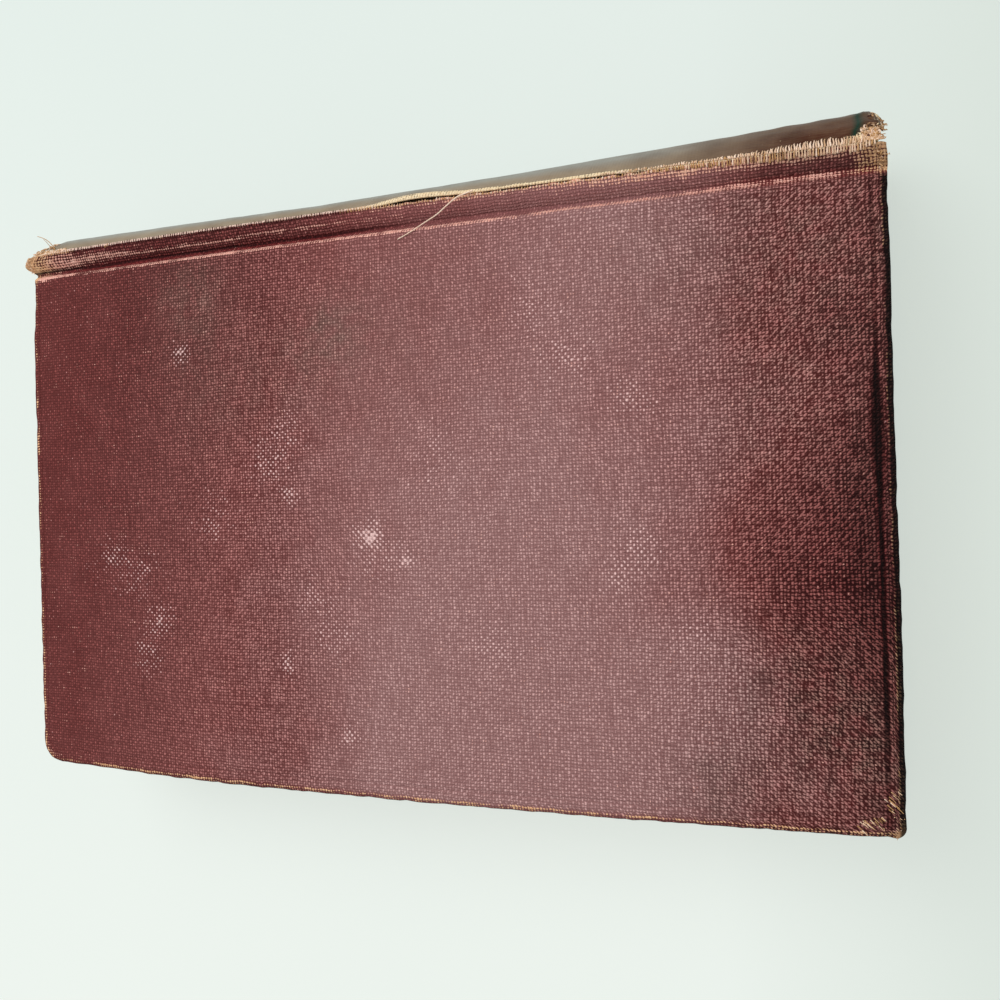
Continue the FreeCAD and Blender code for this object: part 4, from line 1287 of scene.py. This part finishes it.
# %% End tangles
def end_threads(name, body, count, centre, spread, aim, length, seed, shade=0.8, scatter=0.8):
    """A tangle: short curled threads that start in a cloud round a line of places."""
    dice = np.random.default_rng(seed)
    pick = dice.uniform(0, len(centre) - 1, count)
    low = np.floor(pick).astype(int)
    centre = np.asarray(centre, float)
    starts = centre[low] + (centre[low + 1] - centre[low]) * (pick - low)[:, None]
    starts = starts + dice.normal(size=(count, 3)) * spread
    directions = dice.normal(size=(count, 3)) * (scatter, scatter, 0.5 * scatter)
    directions = np.asarray(aim) * 0.5 + directions
    directions = directions / np.linalg.norm(directions, axis=1, keepdims=True)
    lengths = dice.uniform(0.5, 1.2, count) * length
    paths = loose_paths(starts, directions, lengths, 6, 0.5 * scatter, seed + 1)
    shades = np.clip(shade + dice.normal(0.0, 0.16, count), 0.0, 1.0)
    mesh = thread_mesh(name, paths, dice.uniform(0.09, 0.15, count), shades)
    return add_piece(name, mesh, thread_finish, body)


HEAD_EDGE = [(93.7, 57.6, 28.9), (94.5, 59.4, 25.4), (94.4, 61.6, 22.0)]
end_threads("head_tangle", "text_block", 44, HEAD_EDGE, (0.25, 0.25, 0.25),
            (0.5, 0.2, 0.2), 0.36, 61, 0.7, 0.5)
HEAD_JOINT = [(93.6, 51.6, 29.5), (94.6, 52.8, 29.6), (94.2, 53.9, 29.9), (93.2, 54.6, 30.1)]
end_threads("head_joint_tangle", "upper_cover", 44, HEAD_JOINT, (0.35, 0.35, 0.1),
            (0.0, 0.1, 0.0), 0.45, 63, 0.56)
TAIL_JOINT = [(-96.6, 51.6, 29.4), (-98.0, 53.2, 29.8), (-96.6, 55.2, 30.3), (-92.5, 55.4, 30.5)]
end_threads("tail_joint_tangle", "upper_cover", 16, TAIL_JOINT, (0.3, 0.3, 0.05),
            (-0.1, 0.0, 0.0), 0.4, 65)
CORNER = [(91.8, -64.9, 30.6), (93.6, -64.9, 30.5), (94.5, -63.6, 30.5), (94.7, -61.6, 30.5)]
end_threads("head_corner_fray", "upper_cover", 26, CORNER, (0.5, 0.4, 0.1),
            (0.2, -0.2, 0.0), 0.6, 69, 0.7)
FACE = [(88.0, -64.0, 30.96), (91.0, -63.4, 30.96), (93.0, -61.6, 30.96), (93.8, -58.0, 30.9)]
end_threads("corner_strokes", "upper_cover", 34, FACE, (0.5, 0.5, 0.01),
            (1.5, -1.3, 0.0), 1.2, 73, 0.62, 0.03)

# %% [markdown]
# ## The loose thread
#
# One long thread has come out of the torn ridge and lies across the joint and the cover. It is
# a path of a few points, smoothed by cutting its corners, and made a tube like the other
# threads. Two short ones make the tuft at the tail, and one hangs from the corner.

# %% Loose threads
def smooth_path(points, rounds=3):
    """A path with its corners cut at a quarter and three quarters of each run, several times."""
    path = np.asarray(points, float)
    for _ in range(rounds):
        quarter, three = 0.75 * path[:-1] + 0.25 * path[1:], 0.25 * path[:-1] + 0.75 * path[1:]
        middle = np.stack([quarter, three], axis=1).reshape(-1, 3)
        path = np.concatenate([path[:1], middle, path[-1:]])
    return path


def long_thread(name, body, points, radius, shade):
    """One thread along a smoothed path."""
    path = smooth_path(points)[None]
    mesh = thread_mesh(name, path, np.array([radius]), np.array([shade]))
    return add_piece(name, mesh, thread_finish, body)


LOOSE = [
    (18.0, 56.5, 31.1), (16.1, 56.0, 31.2), (14.6, 55.6, 31.3), (12.2, 54.1, 31.2),
    (10.0, 52.6, 31.0), (7.5, 51.5, 30.95), (5.5, 50.4, 31.15), (3.3, 49.4, 31.15),
    (1.1, 48.6, 31.02),
]
TUFT = [
    (-88.9, 56.6, 30.4), (-89.3, 57.5, 30.9), (-90.4, 58.6, 31.3), (-92.0, 59.3, 31.3),
    (-93.2, 59.7, 31.2),
]
TUFT_SIDE = [(-89.5, 56.6, 30.4), (-90.0, 57.2, 30.8), (-90.6, 58.1, 31.1), (-91.4, 58.8, 31.2)]
CORNER_END = [(94.6, -64.3, 30.2), (94.9, -65.3, 29.9), (94.6, -66.1, 29.4), (94.2, -66.9, 29.2)]
long_thread("loose_thread", "upper_cover", LOOSE, 0.17, 1.0)
long_thread("tail_tuft", "text_block", TUFT, 0.11, 0.5)
long_thread("tail_tuft_side", "text_block", TUFT_SIDE, 0.09, 0.45)
long_thread("corner_thread", "upper_cover", CORNER_END, 0.12, 0.95)

# %% [markdown]
# ## The pages
#
# The sewn leaves are rounded at the back, so their fore-edge is hollow by as much. A solid with
# flat sides would show no leaves. Here a leaf is a line of one height a, from 0 for the last
# page to 1 for the first, and b is the way along it from the fore-edge to the back. Near the
# back the outer leaves bend out over the shoulders. Gatherings of sixteen leaves stand out a
# little from their neighbours at all three edges.

# %% Page surfaces
SHOULDER = EDGE + 2.0
PAGE_TOP = paste_low[2] - 0.25
PAGE_WIDTH, PAGE_DEPTH = 115, 27.0
BACK_ROUND, FORE_HOLLOW = 3.3, 3.2


def page_place(x, a, b):
    """The point at leaf a and way b: the arch of the back and the hollow of the fore-edge are
    parabolas in a, and past the shoulder's foot the leaves spread to the ridge."""
    middle = 1 - (2 * a - 1) ** 2
    y_fore = block_low[1] + FORE_HOLLOW * middle
    y_back = RIDGE - 0.45 + BACK_ROUND * middle
    y = y_fore + b * (y_back - y_fore)
    spread = np.clip((y - SHOULDER) / (RIDGE - SHOULDER), 0, 1) ** 1.25
    half = (PAGE_TOP - MIDDLE) + (block_high[2] - 0.02 - PAGE_TOP) * spread
    return np.stack([x + 0 * y, y, MIDDLE + (2 * a - 1) * half + 0 * x], axis=-1)


def gatherings(a):
    """How far each leaf stands out: arcs of one gathering each, with a step between neighbours."""
    number = a * 11.0
    within = number - np.floor(number)
    step = np.sin(np.floor(number) * 2.4) * 0.5
    return 0.1 * (np.sin(3.1416 * within) + step) + 0.03 * np.sin(a * 333.0)

# %% [markdown]
# ## The block of pages
#
# Six grids of one cube, welded at their edges, show the leaves on all three open sides.

# %% The block of pages
def page_block_mesh(name):
    """Six grids of one cube, welded: the two ends, the fore-edge, the back and two faces."""
    x_line = np.linspace(block_low[0], block_high[0], 100)
    a_line = np.linspace(0.0, 1.0, 133)
    b_line = np.concatenate([np.linspace(0.0, 0.93, 70), np.linspace(0.94, 1.0, 13)])
    sides = []
    for sign in (-1, 1):
        a, b = np.meshgrid(a_line, b_line, indexing="ij")
        sides.append((sign * block_high[0] + 0 * a, a, b, sign < 0))
    for b_value, flip in ((0.0, True), (1.0, False)):
        x, a = np.meshgrid(x_line, a_line, indexing="ij")
        sides.append((x, a, b_value + 0 * x, not flip))
    for a_value, flip in ((0.0, True), (1.0, False)):
        x, b = np.meshgrid(x_line, b_line, indexing="ij")
        sides.append((x, a_value + 0 * x, b, flip))
    points, faces, flats, leaves, first = [], [], [], [], 0
    for x, a, b, flip in sides:
        place = page_place(x, a, b)
        inner = ramp(b, 0.0, 0.02)
        end_share = 1 - ramp(block_high[0] - np.abs(x), 0.0, 2.0)
        out = gatherings(a) * ramp(a, 0.0, 0.01) * ramp(1 - a, 0.0, 0.01)
        place[..., 1] -= out * (1 - inner)
        uneven = 0.7 * out + 0.12 * waves(b * PAGE_WIDTH, a * 6, 30.0, 71) - 0.15
        place[..., 0] += np.sign(x) * uneven * end_share
        grid = grid_faces(*x.shape, first)
        faces.append(grid[:, ::-1] if flip else grid)
        points.append(place.reshape(-1, 3))
        flat = (x + b * PAGE_WIDTH).ravel(), (a * PAGE_DEPTH).ravel()
        flats.append(np.stack(flat, axis=1))
        leaves.append(a.ravel())
        first += x.size
    points, faces = np.concatenate(points), np.concatenate(faces)
    mesh = make_mesh(name, points, faces, np.concatenate(flats), {"leaf": np.concatenate(leaves)})
    weld(mesh)
    return mesh

# %% [markdown]
# ## The edges of old paper
#
# Cut paper browns from its edge inwards. The noise is stretched along the leaves, so that it
# shows as fine lines rather than as spots.

# %% Finish of the pages
def make_page_material():
    """Toned paper edges: fine lines along each leaf and browner bundles of leaves."""
    material, writer, shader = new_material("page_edges", 0.9)
    flat = writer.flat()
    lines = writer.noise(writer.stretched(flat, (0.02, 1.0, 1.0)), 0.22, detail=3.0, roughness=0.8)
    bundles = writer.noise(writer.stretched(flat, (0.015, 1.0, 1.0)), 1.6, detail=2.0)
    age = writer.noise(flat, 14.0, detail=4.0)
    colour = writer.mix(age, (212, 182, 142), (238, 216, 180))
    colour = writer.mix(writer.range(lines, 0.5, 0.68, 0.0, 0.6), colour, (150, 116, 80))
    colour = writer.mix(writer.range(bundles, 0.5, 0.75, 0.0, 0.35), colour, (174, 138, 98))
    finish_material(writer, shader, colour, lines, 0.12)
    return material


page_finish = make_page_material()
page_mesh = page_block_mesh("page_block_leaves")
add_piece("page_block_leaves", page_mesh, page_finish, "text_block", ("page_block",))

# %% [markdown]
# ## The parts that stay as the CAD made them
#
# The boards, the card, the mull and the papers are flat or simply bent, so the CAD solids show
# them well. Each gets a finish that names what it is: grey-brown millboard with flecks of fibre,
# an open mull whose holes let the glue show, brown paper, and toned endpapers with laid lines
# and a few foxing spots.

# %% Finishes of the carried parts
def make_fibre_material(name, dark, light, size, roughness):
    """Board, card or paper: clouds of pulp with short fibres across them."""
    material, writer, shader = new_material(name, roughness)
    place = writer.place()
    pulp = writer.noise(place, size, detail=6.0, roughness=0.7)
    fibres = writer.noise(writer.stretched(place, (0.12, 1.0, 0.6), 0.6), 0.5, detail=3.0)
    colour = writer.mix(pulp, dark, light)
    colour = writer.mix(writer.range(fibres, 0.55, 0.75, 0.0, 0.4), colour, dark)
    finish_material(writer, shader, colour, writer.math("ADD", pulp, fibres), 0.05)
    return material


def make_endpaper_material():
    """Toned endpaper: a warm sheet with browner clouds and small foxing spots."""
    material, writer, shader = new_material("toned_endpaper", 0.85)
    place = writer.place()
    cloud = writer.noise(place, 30.0, detail=5.0, roughness=0.6)
    laid = writer.noise(writer.stretched(place, (1.0, 0.04, 1.0)), 1.1, detail=2.0)
    fox = writer.noise(place, 5.0, detail=3.0, roughness=0.5)
    colour = writer.mix(writer.range(cloud, 0.3, 0.7), (206, 182, 140), (228, 212, 178))
    colour = writer.mix(writer.range(laid, 0.45, 0.7, 0.0, 0.16), colour, (186, 158, 116))
    colour = writer.mix(writer.range(fox, 0.69, 0.76, 0.0, 0.6), colour, (166, 118, 74))
    finish_material(writer, shader, colour, laid, 0.03)
    return material


def make_mull_material():
    """Open sized muslin: pale crossing threads over brown glue."""
    material, writer, shader = new_material("glued_mull", 0.8)
    place = writer.place()
    woven = {"Flat": place, "Pitch": 1.1 * MM, "Bend": 0.0004, "Slant": 0.0}
    height = writer.group(weave_tree, woven, "Height")
    glue = writer.noise(place, 4.0, detail=4.0)
    thread = writer.mix(glue, (190, 166, 122), (222, 204, 166))
    colour = writer.mix(writer.range(height, 0.2, 0.45), (138, 104, 62), thread)
    finish_material(writer, shader, colour, height, 0.15)
    return material


board_finish = make_fibre_material("millboard", (104, 84, 58), (160, 136, 100), 2.5, 0.9)
card_finish = make_fibre_material("inlay_card", (118, 96, 66), (158, 134, 98), 3.0, 0.85)
kraft_finish = make_fibre_material("brown_lining_paper", (120, 88, 54), (164, 130, 88), 4.0, 0.8)
endpaper_finish = make_endpaper_material()
mull_finish = make_mull_material()

CARRIED = {"spine_inlay": card_finish, "spine_lining": kraft_finish, "spine_mull": mull_finish}
for side in ("upper_", "lower_"):
    CARRIED[side + "board"] = board_finish
    CARRIED[side + "mull_flange"] = mull_finish
    CARRIED[side + "flyleaf"] = CARRIED[side + "pastedown"] = endpaper_finish
for node, material in CARRIED.items():
    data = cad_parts[node].data
    data.materials.clear()
    data.materials.append(material)
print("carried parts", len(CARRIED))

# %% [markdown]
# ## The fold of the endpapers
#
# An endpaper is one folded sheet, half of it glued inside the cover and half free on the pages.
# The CAD has the two halves, because they move apart. The fold between them is a fixed strip of
# its own that starts on the cover and ends on the pages.

# %% Endpaper folds
def endpaper_fold(upper):
    """A strip from the pastedown's edge down into the joint and up the shoulder to the ridge."""
    way = np.array([-1.2, -0.4, 0.3, 1.0, 1.8, 2.6, 3.5, 4.4, 5.2])
    level = np.array([27.66, 27.66, 27.68, 27.7, 27.74, 28.0, 28.5, 29.05, 29.55])
    x_line = np.linspace(-90.6, 90.6, 60)
    x, step = np.meshgrid(x_line, np.arange(len(way)), indexing="ij")
    y, z = EDGE + way[step], level[step] + 0.05
    z = z if upper else TOP - z
    points = np.stack([x, y, z], axis=2)
    name = ("upper" if upper else "lower") + "_endpaper_fold"
    mesh = grid_mesh(name, points, points[..., :2], {}, flip=bool(upper))
    piece = add_piece(name, mesh, endpaper_finish, None)
    thicken(piece, 0.08).offset = 0.0
    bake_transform(piece)


endpaper_fold(1)
endpaper_fold(0)

# %% [markdown]
# ## Floor and light
#
# The book lies on a pale sheet under soft daylight. The world lights it evenly from all sides,
# at a level at which a colour renders about as it is written, and one large lamp from the upper
# left gives the faint shade on its other side. Part of the floor's paleness is seen by the
# camera alone, so that the background is light without more light on the book. The floor's
# colour also holds a painted shadow past the head end and a painted fall-off of light, darker
# towards the spine side.

# %% Stage
def make_floor():
    """A wide diffuse sheet that keeps the shadow, with a pale glow that the camera sees, and a
    painted shadow and fall-off of light in its colour.
    """
    size = 3.0
    corners = [(-size, -size, 0.0), (size, -size, 0.0), (size, size, 0.0), (-size, size, 0.0)]
    mesh = bpy.data.meshes.new("pale_floor")
    mesh.from_pydata(corners, [], [(0, 1, 2, 3)])
    material, writer, shader = new_material("pale_sheet", 0.9, Specular_IOR_Level=0.1)
    place = writer.place()
    cloud = writer.noise(place, 160.0, detail=2.0)
    parts = writer.add("ShaderNodeSeparateXYZ", {0: place}, "Y")
    cloud = writer.math("MULTIPLY", cloud, 0.25)
    # Painted fall-off of light: paler towards the fore-edge side, darker towards the spine side,
    # with a faint cloud.
    light_falloff = writer.math("MULTIPLY_ADD", writer.range(parts, 0.14, -0.14), 0.75, cloud)
    colour = writer.mix(light_falloff, (221, 231, 226), (239, 245, 239))
    # Painted shadow: the floor darker past the head end of the book.
    side = writer.range(writer.add("ShaderNodeSeparateXYZ", {0: place}, "X"), 0.06, 0.15)
    colour = writer.mix(side, colour, (213, 222, 214))
    writer.tree.links.new(colour, shader.inputs["Base Color"])
    rays = material.node_tree.nodes.new("ShaderNodeLightPath")
    seen = writer.math("MAXIMUM", rays.outputs["Is Camera Ray"], rays.outputs["Is Glossy Ray"])
    seen = writer.math("MAXIMUM", seen, rays.outputs["Is Transmission Ray"])
    glow = writer.add("ShaderNodeEmission", {"Color": colour, "Strength": 1.0})
    share = writer.math("MULTIPLY", seen, 0.72)
    mixed = writer.add("ShaderNodeMixShader", {0: share, 1: shader.outputs[0], 2: glow})
    output = material.node_tree.nodes["Material Output"]
    writer.tree.links.new(mixed, output.inputs["Surface"])
    mesh.materials.append(material)
    floor = bpy.data.objects.new("pale_floor", mesh)
    bpy.context.collection.objects.link(floor)
    floor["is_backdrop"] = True


def make_light():
    """An even world and one large soft lamp from the upper left."""
    world = bpy.data.worlds.new("soft_daylight")
    world.use_nodes = True
    bpy.context.scene.world = world
    background = world.node_tree.nodes["Background"]
    background.inputs["Color"].default_value = (0.97, 1.0, 0.99, 1.0)
    background.inputs["Strength"].default_value = 0.62
    lamp = bpy.data.lights.new("window", "AREA")
    lamp.shape = "SQUARE"
    lamp.size = 0.7
    lamp.energy = 7.0
    light = bpy.data.objects.new("window", lamp)
    light.location = (-0.35, 0.45, 0.85)
    direction = np.array(light.location)
    tilt = np.arctan2(np.hypot(*direction[:2]), direction[2])
    light.rotation_euler = (tilt, 0.0, np.arctan2(direction[0], -direction[1]))
    bpy.context.collection.objects.link(light)


make_floor()
make_light()

# %% [markdown]
# ## Last measures
#
# The dressed book is as large as the CAD model, apart from what frayed cloth stands proud,
# and both boxes are printed.

# %% Sizes and end
boxes = {"cad": CAD_BOX, "visual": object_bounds()}
boxes = {name: [list(map(float, corner)) for corner in box] for name, box in boxes.items()}
for name, box in boxes.items():
    print(name, [[round(value / MM, 1) for value in corner] for corner in box])
